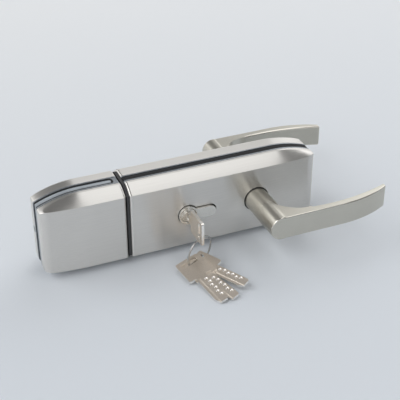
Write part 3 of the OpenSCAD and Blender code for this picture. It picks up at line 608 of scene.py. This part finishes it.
def shaded(obj, width=0.0, angle=30.0, segments=3):
    """Eases the edges sharper than angle by width, and shades flats flat and curves smooth."""
    obj.data.shade_smooth()
    if width:
        bevel = obj.modifiers.new("eased", "BEVEL")
        bevel.width = width
        bevel.segments = segments
        bevel.limit_method = "ANGLE"
        bevel.angle_limit = math.radians(angle)
        bevel.use_clamp_overlap = True
        obj = baked(obj)
    obj.data.set_sharp_from_angle(angle=math.radians(angle + SHARP_OVER))
    weighted = obj.modifiers.new("weighted", "WEIGHTED_NORMAL")
    weighted.keep_sharp = True
    weighted.weight = 50
    return baked(obj)


def dressed(obj, finish, slot, *names):
    """Finishes a piece that stands for these CAD nodes."""
    set_only(obj, FINISHES[finish])
    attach(obj, body_of(names[0]))
    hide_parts(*names)


def copied(name, piece):
    """A copy of a solid with its flat facets joined."""
    mesh = NODES[name].data.copy()
    shape = bmesh.new()
    shape.from_mesh(mesh)
    bmesh.ops.remove_doubles(shape, verts=shape.verts, dist=MERGE)
    bmesh.ops.dissolve_limit(shape, angle_limit=ONE_FLAT, verts=shape.verts, edges=shape.edges)
    shape.to_mesh(mesh)
    shape.free()
    return linked(piece, mesh)


def marked(obj, test):
    """Marks the faces that take the bright cut colour: milled faces, and the levers' buffed edges
    with their painted highlight.
    """
    marks = [float(test(face)) for face in obj.data.polygons]
    obj.data.attributes.new(MILLED_AND_HIGHLIT, "FLOAT", "FACE").data.foreach_set("value", marks)


def milled(obj):
    """Marks all but the large flats."""
    flat = max(obj.data.polygons, key=lambda face: face.area).normal.copy()
    marked(obj, lambda face: abs(face.normal.dot(flat)) < FLAT_WITHIN)


def buffed_and_highlit(obj, face_y):
    """Marks the rounded edges of a lever's arm, and its rim over the neck, for a painted highlight
    in a brighter colour and the lower roughness of buffing.
    """
    outside = (LEVER_OUT - BUFFED_AND_HIGHLIT_DEEP) * MM
    past_bend = (LEVER_X + BEND_X) * MM

    def on_edge(face):
        on_arm = abs(face.center.y - face_y * MM) > outside or face.center.x > past_bend
        return on_arm and min(abs(face.normal.y), abs(face.normal.z)) > EDGE_TILT

    marked(obj, on_edge)


def grown(name, tree, values, place):
    """Runs a tree with these inputs and returns the result as a plain mesh at its place."""
    obj = linked(name, bpy.data.meshes.new(name))
    modifier = obj.modifiers.new("made", "NODES")
    modifier.node_group = tree
    for item in tree.interface.items_tree:
        if item.in_out == "INPUT" and item.name in values:
            modifier[item.identifier] = values[item.name]
    plain = baked(obj)
    plain.data.transform(place)
    return plain


# Covers


def drop(t, dip, run):
    """Drop at distance t from the end of an arc that is level at distance run from it."""
    if t >= run or dip == 0:
        return 0.0
    radius = (run * run + dip * dip) / (2 * dip)
    return radius - math.sqrt(radius * radius - (run - t) ** 2)


def edge_cut(t, radius):
    """How far in a rounded edge is at distance t from the end."""
    if t >= radius:
        return 0.0
    return radius - math.sqrt(radius * radius - (radius - max(t, 0.0)) ** 2)


def end_rounds(inset):
    """Roundings of a cover's two ends, inset from its outside."""
    return max(GAP_ROUND - inset, LEAST_ROUND), max(FAR_ROUND - inset, LEAST_ROUND)


def filleted(points, radii, steps=4):
    """A 2D line with these corners rounded, each by the same number of points."""
    made = []
    for i, (corner, radius) in enumerate(zip(points, radii)):
        if not radius:
            made.append(corner)
            continue
        here = Vector(corner)
        before = Vector(points[i - 1]) - here
        after = Vector(points[i + 1]) - here
        half = before.angle(after) / 2
        most = FILLET_SHARE * min(before.length, after.length)
        reach = min(radius / math.tan(half), most)
        before, after = before.normalized(), after.normalized()
        centre = here + (before + after).normalized() * reach / math.cos(half)
        first = (here + before * reach - centre).normalized()
        last = (here + after * reach - centre).normalized()
        for k in range(steps + 1):
            arm = first.slerp(last, k / steps)
            made.append(tuple(centre + arm * reach * math.tan(half)))
    return made


def cover_ring(cover, u, inset, open_at, fold_r):
    """Section of a cover at distance u from the door gap, inset from its outside."""
    near, far = end_rounds(inset)
    left = cover.length - u
    cut = edge_cut(u - inset, near) + edge_cut(cover.length - inset - u, far)
    dipped = drop(left, cover.dip, cover.run)
    rim = RIM_Z - inset - dipped - cut
    drawn = drop(left, FACE_DRAW, FACE_DRAW_RUN)
    deep = cover.depth - inset - drawn - drop(left, cover.fall, FALL_RUN) - cut
    shoulder = cover.rim_depth + cover.spread * dipped / cover.dip - SHOULDER_SHIFT * inset
    shoulder = min(shoulder, deep - LEAST_DEPTH)
    fold = CREASE_Z - CREASE_SHIFT * inset - cover.follow * dipped
    fold = min(fold, rim - LEAST_HEIGHT)
    swell = SWELL * (rim - fold) / (RIM_Z - CREASE_Z)
    bevel = []
    for i in range(1, BEVEL_STEPS):
        t = i / BEVEL_STEPS
        out = 4 * swell * t * (1 - t)
        depth = shoulder + (deep - shoulder) * t + SWELL_DEPTH * out
        bevel.append((depth, rim - (rim - fold) * t + SWELL_HEIGHT * out))
    corners = [(open_at, 0.0), (open_at, rim), (shoulder, rim), *bevel, (deep, fold), (deep, 0.0)]
    radii = [0, LIP_ROUND, 2 * fold_r] + [0] * len(bevel) + [fold_r, 0]
    half = filleted(corners, radii)[1:-1]
    return half + [(d, -z) for d, z in reversed(half)]


def eased(steps):
    """Sines of a quarter turn in equal steps, from 0 to 1."""
    return [math.sin(math.radians(90 * i / steps)) for i in range(steps + 1)]


def stations(cover, inset):
    """Distances from the door gap at which a cover's sections stand."""
    near, far = end_rounds(inset)
    last = cover.length - inset - far
    draw, fall = cover.length - FACE_DRAW_RUN, cover.length - FALL_RUN
    steps = [inset + near * (1 - s) for s in reversed(eased(10))]
    steps += [draw + (FACE_DRAW_RUN - FALL_RUN) * i / 30 for i in range(31)]
    steps += [fall + FALL_RUN * s for s in eased(16)[1:-1]]
    return [u for u in steps if u < last - NEAREST] + [last + far * s for s in eased(8)]


def cover_skin(name, inset, open_at, fold_r):
    """Outside or inside of a cover in its place."""
    cover = COVERS[name]
    rings = []
    for u in stations(cover, inset):
        x = -DOOR_GAP - u if name.startswith("strike") else u
        ring = cover_ring(cover, u, inset, open_at, fold_r)
        rings.append([(x, cover.edge + cover.out * d, z) for d, z in ring])
    return lofted(name + "_shell", rings)


def cylinder_outline(grow, late):
    """Outline of the cylinder's profile, in X and Z, with its web longer by late."""
    radius, web = CYLINDER_R + grow, CYLINDER_WEB + grow
    start = math.degrees(math.asin(web / radius))
    round_part = arc((CYLINDER_X, 0), radius, start, 360 - start, 60)
    return round_part + arc((CYLINDER_X + CYLINDER_REACH + late, 0), web, -90, 90, 24)


def end_outline(inset):
    """Outline of the whole lock seen from the door gap, in Y and Z."""
    upper = [
        (SLOT_FRONT - COVERS["front_cover"].rim_depth, RIM_Z - inset),
        (FRONT_FACE + inset, CREASE_Z - inset / 2),
    ]
    lower = [
        (REAR_FACE - inset, CREASE_Z - inset / 2),
        (SLOT_REAR + COVERS["rear_cover"].rim_depth, RIM_Z - inset),
    ]
    over = [(y, -z) for y, z in reversed(upper)] + [(y, -z) for y, z in reversed(lower)]
    return upper + over + lower


def mouth(cover, strike):
    """Opening of a cover's end at the door gap."""
    x = (-DOOR_GAP - WALL - 1, 1.0) if strike else (-1.0, WALL + 1)
    return prism("mouth", oblong(*MOUTH[cover.out], -MOUTH_Z, MOUTH_Z), 0, *x)


def cover_sink(cover, strike):
    """Countersunk hole of a rear cover's screw, in its far end."""
    end = -DOOR_GAP - STRIKE_LEN if strike else LOCK_LEN
    place = put(end, cover.edge + SINK_OFF, 0, -90 if strike else 90, "Y")
    return turned("sink", SINK, place, BORE_SIDES)


# Geometry Nodes


def tree_of(name, sizes):
    """An empty tree with these sizes as inputs, and those inputs."""
    tree = bpy.data.node_groups.new(name, "GeometryNodeTree")
    tree.is_modifier = True
    for label, value in sizes.items():
        socket = tree.interface.new_socket(label, in_out="INPUT", socket_type="NodeSocketFloat")
        socket.default_value = value
    tree.interface.new_socket("Geometry", in_out="OUTPUT", socket_type="NodeSocketGeometry")
    return tree, node(tree, "NodeGroupInput").outputs


def end_tree(tree, shape, finish):
    """Makes a tree's shape real, gives it its material and puts it out."""
    real = node(tree, "GeometryNodeRealizeInstances", {"Geometry": shape})
    coat = {"Geometry": real, "Material": FINISHES[finish]}
    coated = node(tree, "GeometryNodeSetMaterial", coat)
    node(tree, "NodeGroupOutput", {"Geometry": coated})
    return tree


def coil_tree(name):
    """Geometry Nodes that wind a wire into a coil about Z, with its sizes as inputs."""
    tree, given = tree_of(name, RING)
    winding = {
        "Resolution": COIL_STEPS,
        "Rotations": given["Turns"],
        "Start Radius": given["Radius"],
        "End Radius": given["Radius"],
        "Height": given["Height"],
    }
    path = node(tree, "GeometryNodeCurveSpiral", winding)
    section = {"Resolution": WIRE_SIDES, "Radius": given["Wire"]}
    circle = node(tree, "GeometryNodeCurvePrimitiveCircle", section)
    squeezed = node(tree, "ShaderNodeCombineXYZ", (1.0, given["Flat"], 1.0))
    oval = node(tree, "GeometryNodeTransform", {"Geometry": circle, "Scale": squeezed})
    sweep = {"Curve": path, "Profile Curve": oval, "Fill Caps": True}
    swept = node(tree, "GeometryNodeCurveToMesh", sweep)
    rounded = node(tree, "GeometryNodeSetShadeSmooth", {"Geometry": swept})
    return end_tree(tree, rounded, "wire")


def arc_height(tree, off, radius):
    """Sagitta of an arc of this radius at a distance from its top."""
    sums = "ShaderNodeMath"
    off2 = node(tree, sums, (off, off), operation="MULTIPLY")
    radius2 = node(tree, sums, (radius, radius), operation="MULTIPLY")
    left = node(tree, sums, (radius2, off2), operation="SUBTRACT")
    at_least = node(tree, sums, (left, 0.0), operation="MAXIMUM")
    root = node(tree, sums, (at_least,), operation="SQRT")
    return node(tree, sums, (radius, root), operation="SUBTRACT")


def arm_tree(name):
    """Geometry Nodes for a lever's arm: a rounded bar between an inner and an outer arc.

    A square section of half width Room is swept over X from 0 to 1, then each point is moved to
    its place: along X by a sine, so that the sections crowd at the tip, and in from the square's
    sides by as much as the bar is slimmer there, which keeps its rounded edges round. Over the
    tip the section shrinks instead."""
    tree, given = tree_of(name, ARM)
    sums, choice, position = "ShaderNodeMath", "ShaderNodeMix", "GeometryNodeInputPosition"
    line = node(tree, "GeometryNodeCurvePrimitiveLine", {"Start": (0, 0, 0), "End": (1, 0, 0)})
    path = node(tree, "GeometryNodeResampleCurve", {"Curve": line, "Count": ARM_STEPS})
    wide = node(tree, sums, (given["Room"], 2.0), operation="MULTIPLY")
    width = {"Width": wide, "Height": wide}
    square = node(tree, "GeometryNodeCurvePrimitiveQuadrilateral", width)
    corner = node(tree, "ShaderNodeSeparateXYZ", (node(tree, position),)).outputs
    inside = node(tree, sums, (corner["X"], 0.0), operation="GREATER_THAN")
    edges = {"Factor": inside, "A": given["Edge"], "B": given["Inner Edge"]}
    fillet = {"Curve": square, "Radius": node(tree, choice, edges), "Count": ARM_EDGE_STEPS}
    rounded = node(tree, "GeometryNodeFilletCurve", fillet, mode="POLY")
    sweep = {"Curve": path, "Profile Curve": rounded, "Fill Caps": True}
    bar = node(tree, "GeometryNodeCurveToMesh", sweep)
    at = node(tree, "ShaderNodeSeparateXYZ", (node(tree, position),)).outputs
    # Distance along the arm
    quarter = node(tree, sums, (at["X"], math.pi / 2), operation="MULTIPLY")
    sine = node(tree, sums, (quarter,), operation="SINE")
    reach = {"Value": sine, "To Min": given["From"], "To Max": given["Reach"]}
    x = node(tree, "ShaderNodeMapRange", reach)
    # Inner face: the block beside the neck, then an arc about its crest
    off_crest = node(tree, sums, (x, given["Crest"]), operation="SUBTRACT")
    inner_arc = arc_height(tree, off_crest, given["Inner Radius"])
    inner_face = node(tree, sums, (given["Near Face"], inner_arc), operation="SUBTRACT")
    in_bend = node(tree, sums, (x, given["Bend End"]), operation="LESS_THAN")
    inner = node(tree, choice, {"Factor": in_bend, "A": inner_face, "B": given["Bend Face"]})
    # Outer face: flat, then an arc
    past = node(tree, sums, (x, given["Straight To"]), operation="SUBTRACT")
    past_only = node(tree, sums, (past, 0.0), operation="MAXIMUM")
    outer_arc = arc_height(tree, past_only, given["Outer Radius"])
    outer = node(tree, sums, (given["Out"], outer_arc), operation="SUBTRACT")
    # Rounding of the tip: how far all sides come in
    tip = node(tree, sums, (given["Reach"], given["Tip"]), operation="SUBTRACT")
    in_tip = node(tree, sums, (x, tip), operation="SUBTRACT")
    in_tip_only = node(tree, sums, (in_tip, 0.0), operation="MAXIMUM")
    tip_arc = arc_height(tree, in_tip_only, given["Tip"])
    come_in = node(tree, sums, (tip_arc, TIP_SHARE), operation="MULTIPLY")
    # Across the bar
    total = node(tree, sums, (inner, outer), operation="ADD")
    middle = node(tree, sums, (total, 0.5), operation="MULTIPLY")
    thick = node(tree, sums, (outer, inner), operation="SUBTRACT")
    sides = []
    for axis, across in (("Y", thick), ("Z", given["Height"])):
        half = node(tree, sums, (across, 0.5), operation="MULTIPLY")
        side = node(tree, sums, (at[axis],), operation="SIGN")
        away = node(tree, sums, (at[axis],), operation="ABSOLUTE")
        slimmer = node(tree, sums, (given["Room"], half), operation="SUBTRACT")
        off = node(tree, sums, (away, slimmer), operation="SUBTRACT")
        lost = node(tree, sums, (come_in, half), operation="DIVIDE")
        kept = node(tree, sums, (1.0, lost), operation="SUBTRACT")
        placed = node(tree, sums, (off, kept), operation="MULTIPLY")
        sides.append(node(tree, sums, (placed, side), operation="MULTIPLY"))
    y = node(tree, sums, (middle, sides[0]), operation="ADD")
    spot = node(tree, "ShaderNodeCombineXYZ", (x, y, sides[1]))
    moved = node(tree, "GeometryNodeSetPosition", {"Geometry": bar, "Position": spot})
    return end_tree(tree, moved, "lever")


# Levers


def cast_lever(name, tree):
    """An arm and its neck in one, with the hollows for its clip, spindle and grub screw."""
    upright = put(0, 0, 0, -90)
    lever = grown(name, tree, ARM, put(0, 0, 0))
    rim = arc((NECK_R - RIM_ROUND, LEVER_OUT - RIM_ROUND), RIM_ROUND, 90, 0, 6)
    neck = turned("neck", rim + [(NECK_R, -NECK_IN)], upright, NECK_SIDES)
    lever = joined(lever, neck, "UNION")
    low, beyond = BEND_V - 1, BEND_X + BEND_WIDE
    bend = [(BEND_START, low)] + arc((BEND_X, BEND_V), BEND_R, 180, 90, 24)
    bend += [(beyond, BEND_V + BEND_R), (beyond, low)]
    groove = oblong(NECK_R - GROOVE_DEEP, NECK_R + 1, *GROOVE)
    half = SOCKET_HALF
    cutters = (
        turned_ring("bend", bend, upright, BEND_SIDES),
        turned_ring("clip groove", groove, upright, NECK_SIDES),
        prism("socket", oblong(-half, half, -half, half), 1, *SOCKET),
        turned("screw bore", GRUB, put(0, GRUB_OUT, 0), BORE_SIDES),
    )
    for cutter in cutters:
        lever = joined(lever, cutter, "DIFFERENCE")
    return lever


def bush(name, face, out):
    """The thin ring round a lever's neck, seated in its cover."""
    bore, rim = NECK_R + BUSH_PLAY, BUSH_R - BUSH_SEAT
    section = [(bore, BUSH_IN), (rim, BUSH_IN), (rim, 0), (BUSH_R - BUSH_CHAMFER, BUSH_OUT)]
    section.append((bore, BUSH_OUT))
    return shaded(turned_ring(name, section, put(LEVER_X, face, 0, -90 * out)), angle=40)


# Studio


def paper_floor(light):
    """A sheet of paper under the lock's lower rims, with painted light that makes it paler towards
    the back.
    """
    plane = bpy.data.meshes.new("floor")
    corners = oblong(-FLOOR_HALF, FLOOR_HALF, -FLOOR_HALF, FLOOR_HALF)
    plane.from_pydata([(x, y, CAD_BOX[0].z) for x, y in corners], [], [(0, 1, 2, 3)])
    made = bpy.data.materials.new("paper, matt, with painted light towards the back")
    made.use_nodes = True
    tree = made.node_tree
    tree.nodes.clear()
    where = node(tree, "ShaderNodeTexCoord").outputs["Object"]
    grain = {"Vector": where, "Scale": 1 / (FIBRE * MM), "Detail": 2.0}
    fibre = node(tree, "ShaderNodeTexNoise", grain).outputs["Fac"]
    relief = node(tree, "ShaderNodeBump", {"Height": fibre, "Distance": FIBRE_RELIEF * MM})
    # Painted light: the colour blends from the front colour to a paler one towards the back
    depth = node(tree, "ShaderNodeSeparateXYZ", (where,)).outputs["Y"]
    graded = node(tree, "ShaderNodeMapRange", (depth, *FLOOR_FADE))
    shades = {"Factor": graded, "A": [*light.floor, 1], "B": [*light.floor_back_painted_light, 1]}
    shade = node(tree, "ShaderNodeMix", shades, data_type="RGBA").outputs["Result"]
    surface = {"Base Color": shade, "Roughness": PAPER_ROUGHNESS, "Normal": relief}
    paper = node(tree, "ShaderNodeBsdfPrincipled", surface)
    node(tree, "ShaderNodeOutputMaterial", {"Surface": paper})
    plane.materials.append(made)
    return linked("floor", plane)


def soft_box_sky(strength):
    """A sky of soft boxes on a dim room: one overhead, one to the left and one at the back
    right. Where the camera looks past the floor it is as pale as the floor."""
    world = bpy.data.worlds.new("studio")
    bpy.context.scene.world = world
    world.use_nodes = True
    tree = world.node_tree
    tree.nodes.clear()
    where = node(tree, "ShaderNodeTexCoord").outputs["Generated"]
    axes = node(tree, "ShaderNodeSeparateXYZ", (where,)).outputs
    lean = node(tree, "ShaderNodeMapRange", (axes["X"], -1.0, 1.0))
    level = {}
    for part, stops in SKY.items():
        greys = [((x + 1) / 2, bright / BRIGHTEST) for x, bright in stops]
        level[part] = node(tree, "ShaderNodeValToRGB", {"Fac": lean}, greys).outputs["Color"]
    # Each part is left for the next over a soft step in depth or height
    for axis, span, before, after, made in (
        ("Y", FRONT_TO_BACK, "front low", "back low", "low"),
        ("Y", FRONT_TO_BACK, "front middle", "back middle", "middle"),
        ("Z", LOW_TO_MIDDLE, "low", "middle", "sides"),
        ("Z", MIDDLE_TO_TOP, "sides", "top", "whole"),
    ):
        inputs = (axes[axis], *span)
        step = node(tree, "ShaderNodeMapRange", inputs, interpolation_type="SMOOTHSTEP")
        parts = {"Factor": step, "A": level[before], "B": level[after]}
        level[made] = node(tree, "ShaderNodeMix", parts, data_type="RGBA").outputs["Result"]
    glow = {"Color": level["whole"], "Strength": BRIGHTEST * strength}
    sky = node(tree, "ShaderNodeBackground", glow)
    pale = node(tree, "ShaderNodeBackground", {"Color": linear(BACKDROP), "Strength": 1.0})
    seen = node(tree, "ShaderNodeLightPath").outputs["Is Camera Ray"]
    chosen = node(tree, "ShaderNodeMixShader", (seen, sky, pale))
    node(tree, "ShaderNodeOutputWorld", {"Surface": chosen})


def photograph():
    """The camera at the photographer's place."""
    view = bpy.data.cameras.new("photograph")
    view.sensor_width = SENSOR
    view.lens = FOCAL_PX / PHOTO_PX * SENSOR
    camera = linked("photograph", view)
    yaw, pitch, roll = (math.radians(a) for a in CAMERA_TURN)
    level = math.cos(pitch)
    ahead = Vector((math.sin(yaw) * level, math.cos(yaw) * level, -math.sin(pitch)))
    right = Vector((math.cos(yaw), -math.sin(yaw), 0))
    up = right.cross(ahead)
    across = right * math.cos(roll) + up * math.sin(roll)
    above = up * math.cos(roll) - right * math.sin(roll)
    turn = Matrix((across, above, -ahead)).transposed().to_4x4()
    camera.matrix_world = Matrix.Translation(CAMERA_AT) @ turn
    return camera


# Properties


def measure(label, about, default, unit="LENGTH"):
    """A size in metres or radians that the panel shows."""
    return bpy.props.FloatProperty(name=label, description=about, default=default, unit=unit)


def tint(label, about, code):
    """A colour that the panel shows."""
    return bpy.props.FloatVectorProperty(
        name=label, description=about, default=linear(code)[:3], subtype="COLOR", size=3
    )


class LockSizes(bpy.types.PropertyGroup):
    """Sizes that scene and panel share"""

    fold: measure("Fold", "Radius of the covers' creases", 0.5 * MM)
    lever_edge: measure("Lever edge", "Rounding of the levers' edges", 0.3 * MM)
    key_edge: measure("Key edge", "Rounding of the keys' stamped edges", 0.15 * MM)
    ring_radius: measure("Ring radius", "Radius of the split ring's wire centre", 14.01 * MM)
    ring_yaw: measure(
        "Ring turn", "Turn of the ring about the vertical", math.radians(26), "ROTATION"
    )
    ring_lean: measure(
        "Ring lean", "Lean of the ring from the vertical", math.radians(5.02), "ROTATION"
    )


class StudioLight(bpy.types.PropertyGroup):
    """Light of the soft boxes and colours of the floor"""

    sky: bpy.props.FloatProperty(
        name="Sky", description="Strength of the soft boxes and the room", default=1.0
    )
    floor: tint("Floor", "Colour of the floor in front", "DEE4EB")
    # Painted light: the floor is painted paler behind the lock than in front
    floor_back_painted_light: tint("Floor behind", "Colour of the floor behind", "F2F5F8")


# Operators


class PieceOperator(bpy.types.Operator):
    """What the operators below share"""

    bl_options = {"REGISTER", "UNDO"}

    @property
    def sizes(self):
        return bpy.context.scene.lock_sizes


class LOCK_OT_fittings(PieceOperator):
    """Plated, rubber and blackened fittings that keep their own solids"""

    bl_idname = "lock.fittings"
    bl_label = "Fittings"

    def execute(self, context):
        for finish, names in FITTINGS.items():
            for name in names:
                set_only(NODES[name], FINISHES[finish])
        return {"FINISHED"}


class LOCK_OT_covers(PieceOperator):
    """The four brushed covers, folded from sheet with soft creases"""

    bl_idname = "lock.covers"
    bl_label = "Covers"

    def execute(self, context):
        for name, cover in COVERS.items():
            strike = name.startswith("strike")
            shell = cover_skin(name, 0.0, OPEN_AT, self.sizes.fold / MM)
            cutters = [cover_skin(name, WALL, 0.0, LEAST_ROUND), mouth(cover, strike)]
            if strike:
                pocket = end_outline(POCKET_RIM)
                cutters.append(prism("pocket", pocket, 0, -DOOR_GAP - POCKET_DEEP, 1.0))
            else:
                face = FRONT_FACE if cover.out < 0 else REAR_FACE
                hole = cylinder_outline(HOLE_PLAY, HOLE_LATE)
                cutters.append(prism("hole", hole, 1, face - THROUGH, face + THROUGH))
                bore = [(BUSH_R, -THROUGH), (BUSH_R, THROUGH)]
                cutters.append(turned("bore", bore, put(LEVER_X, face, 0, 90)))
            if cover.out > 0:
                cutters.append(cover_sink(cover, strike))
            for cutter in cutters:
                shell = joined(shell, cutter, "DIFFERENCE")
            dressed(shaded(shell, angle=24), "cover", "brushed_cover", name)
        return {"FINISHED"}


class LOCK_OT_slot_end(PieceOperator):
    """The closed end of the strike's slot: a web of metal, with the packing ending before it"""

    bl_idname = "lock.slot_end"
    bl_label = "Slot end"

    def execute(self, context):
        for name, finish, slot in (
            ("strike_gasket", "rubber", "black_rubber"),
            ("strike_packing", "packing", "grey_packing"),
        ):
            strip = copied(name, name + "_cut")
            for corner in strip.data.vertices:
                if corner.co.x > PACKING_END * MM:
                    corner.co.x -= WEB_LONG * MM
            dressed(shaded(strip, angle=28), finish, slot, name)
        plate = copied("strike_plate", "strike_plate_blackened")
        plate = shaded(plate, PLATE_EDGE * MM, angle=28)
        dressed(plate, "black_steel", "black_steel", "strike_plate")
        centre = WEB_END - WEB_ROUND
        outline = [(WEB_START, SLOT_FRONT), (WEB_START, STRIKE_REAR)]
        outline += arc((centre, STRIKE_REAR - WEB_ROUND), WEB_ROUND, 90, 0, 12)
        outline += arc((centre, SLOT_FRONT + WEB_ROUND), WEB_ROUND, 0, -90, 12)
        for place, levels in WEB_LEVELS.items():
            block = prism("strike_web_" + place, outline, 2, *levels)
            block = shaded(block, WEB_EDGE * MM, angle=40)
            set_only(block, FINISHES["zinc"])
            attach(block, body_of("strike_plate"))
        return {"FINISHED"}


class LOCK_OT_levers(PieceOperator):
    """The two lever handles: a turned neck that bends into a flat bar between two arcs"""

    bl_idname = "lock.levers"
    bl_label = "Levers"

    def execute(self, context):
        tree = arm_tree("lever arm")
        for name, face, out in (("front_lever", FRONT_FACE, -1), ("rear_lever", REAR_FACE, 1)):
            lever = cast_lever(name + "_cast", tree)
            place = Matrix.Translation((LEVER_X * MM, face * MM, 0))
            lever.data.transform(place @ Matrix.Diagonal((1, out, 1, 1)))
            if out < 0:
                lever.data.flip_normals()
            welded(lever)
            lever = shaded(lever, self.sizes.lever_edge, angle=32)
            # Painted highlight: the rounded edges take a brighter colour
            buffed_and_highlit(lever, face)
            dressed(lever, "lever", "satin_lever", name)
            ring = bush(name + "_bush_moulded", face, out)
            dressed(ring, "nylon", "black_nylon", name + "_bush")
        return {"FINISHED"}


class LOCK_OT_cylinder(PieceOperator):
    """The cylinder and its two plugs with eased edges"""

    bl_idname = "lock.cylinder"
    bl_label = "Cylinder"

    def execute(self, context):
        body = copied("cylinder_body", "cylinder_profile")
        body = shaded(body, CYLINDER_EDGE * MM, angle=28)
        dressed(body, "cylinder", "nickel_cylinder", "cylinder_body")
        for name, (face, turn) in PLUG_FACES.items():
            plug = copied(name, name + "_turned")
            place = put(CYLINDER_X, face, 0, turn)
            plug = joined(plug, turned_ring("groove", PLUG_GROOVE, place), "DIFFERENCE")
            plug = shaded(plug, PLUG_EDGE * MM, angle=28)
            dressed(plug, "cylinder", "nickel_plug", name)
        return {"FINISHED"}


class LOCK_OT_keys(PieceOperator):
    """The key in the cylinder and the three loose keys"""

    bl_idname = "lock.keys"
    bl_label = "Keys"

    def execute(self, context):
        for name in KEYS:
            key = shaded(copied(name, name + "_stamped"), self.sizes.key_edge, segments=2)
            milled(key)
            dressed(key, "key", "nickel_key", name)
        return {"FINISHED"}


class LOCK_OT_ring(PieceOperator):
    """The split ring, wound twice from flat wire"""

    bl_idname = "lock.ring"
    bl_label = "Key ring"

    def execute(self, context):
        radius = self.sizes.ring_radius
        place = (
            Matrix.Translation(RING_TOP)
            @ Matrix.Rotation(self.sizes.ring_yaw, 4, "Z")
            @ Matrix.Rotation(self.sizes.ring_lean, 4, "X")
            @ put(0, 0, -radius, 90)
            @ Matrix.Translation((0, 0, -RING["Height"] / 2))
        )
        ring = grown("split_ring", coil_tree("split ring"), {**RING, "Radius": radius}, place)
        dressed(ring, "wire", "ring_steel", "key_ring")
        return {"FINISHED"}


class LOCK_OT_springs(PieceOperator):
    """The coil springs of the latch and the follower"""

    bl_idname = "lock.springs"
    bl_label = "Springs"

    def execute(self, context):
        tree = coil_tree("coil spring")
        for name, (radius, wire, joint, fixed, keep) in SPRINGS.items():
            low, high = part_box(name)
            middle = (low + high) / 2
            values = {
                "Radius": radius * MM,
                "Wire": wire * MM,
                "Height": high.x - low.x - 2 * wire * MM,
                "Turns": SPRING_TURNS,
                "Flat": 1.0,
            }
            place = put(low.x + wire * MM, middle.y, middle.z, 90, "Y")
            spring = grown(name + "_wound", tree, values, place)
            dressed(spring, "wire", "screw_steel", name)
            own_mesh(spring)
        return {"FINISHED"}


class LOCK_OT_studio(PieceOperator):
    """Floor, a sky of soft boxes and the camera at the photographer's place"""

    bl_idname = "lock.studio"
    bl_label = "Studio"

    def execute(self, context):
        light = context.scene.studio_light
        floor = paper_floor(light)
        soft_box_sky(light.sky)
        context.scene.camera = photograph()
        context.scene.view_settings.view_transform = "Standard"
        return {"FINISHED"}


class LOCK_PT_panel(bpy.types.Panel):
    bl_idname = "LOCK_PT_panel"
    bl_label = "Door Lock"
    bl_space_type = "VIEW_3D"
    bl_region_type = "UI"
    bl_category = "Door Lock"

    def draw(self, context):
        for group in (context.scene.lock_sizes, context.scene.studio_light):
            for name in group.bl_rna.properties.keys():
                if name not in {"rna_type", "name"}:
                    self.layout.prop(group, name)
        for kind in OPERATORS:
            self.layout.operator(kind.bl_idname)


OPERATORS = (
    LOCK_OT_fittings,
    LOCK_OT_covers,
    LOCK_OT_slot_end,
    LOCK_OT_levers,
    LOCK_OT_cylinder,
    LOCK_OT_keys,
    LOCK_OT_ring,
    LOCK_OT_springs,
    LOCK_OT_studio,
)
CLASSES = (LockSizes, StudioLight) + OPERATORS + (LOCK_PT_panel,)


def register():
    for kind in CLASSES:
        bpy.utils.register_class(kind)
    bpy.types.Scene.lock_sizes = bpy.props.PointerProperty(type=LockSizes)
    bpy.types.Scene.studio_light = bpy.props.PointerProperty(type=StudioLight)


def unregister():
    del bpy.types.Scene.studio_light
    del bpy.types.Scene.lock_sizes
    for kind in reversed(CLASSES):
        bpy.utils.unregister_class(kind)


def main():
    register()
    FINISHES.update(materials())
    bpy.ops.lock.fittings()
    bpy.ops.lock.covers()
    bpy.ops.lock.slot_end()
    bpy.ops.lock.levers()
    bpy.ops.lock.cylinder()
    bpy.ops.lock.keys()
    bpy.ops.lock.ring()
    bpy.ops.lock.springs()
    bpy.ops.lock.studio()


if __name__ == "__main__":
    main()
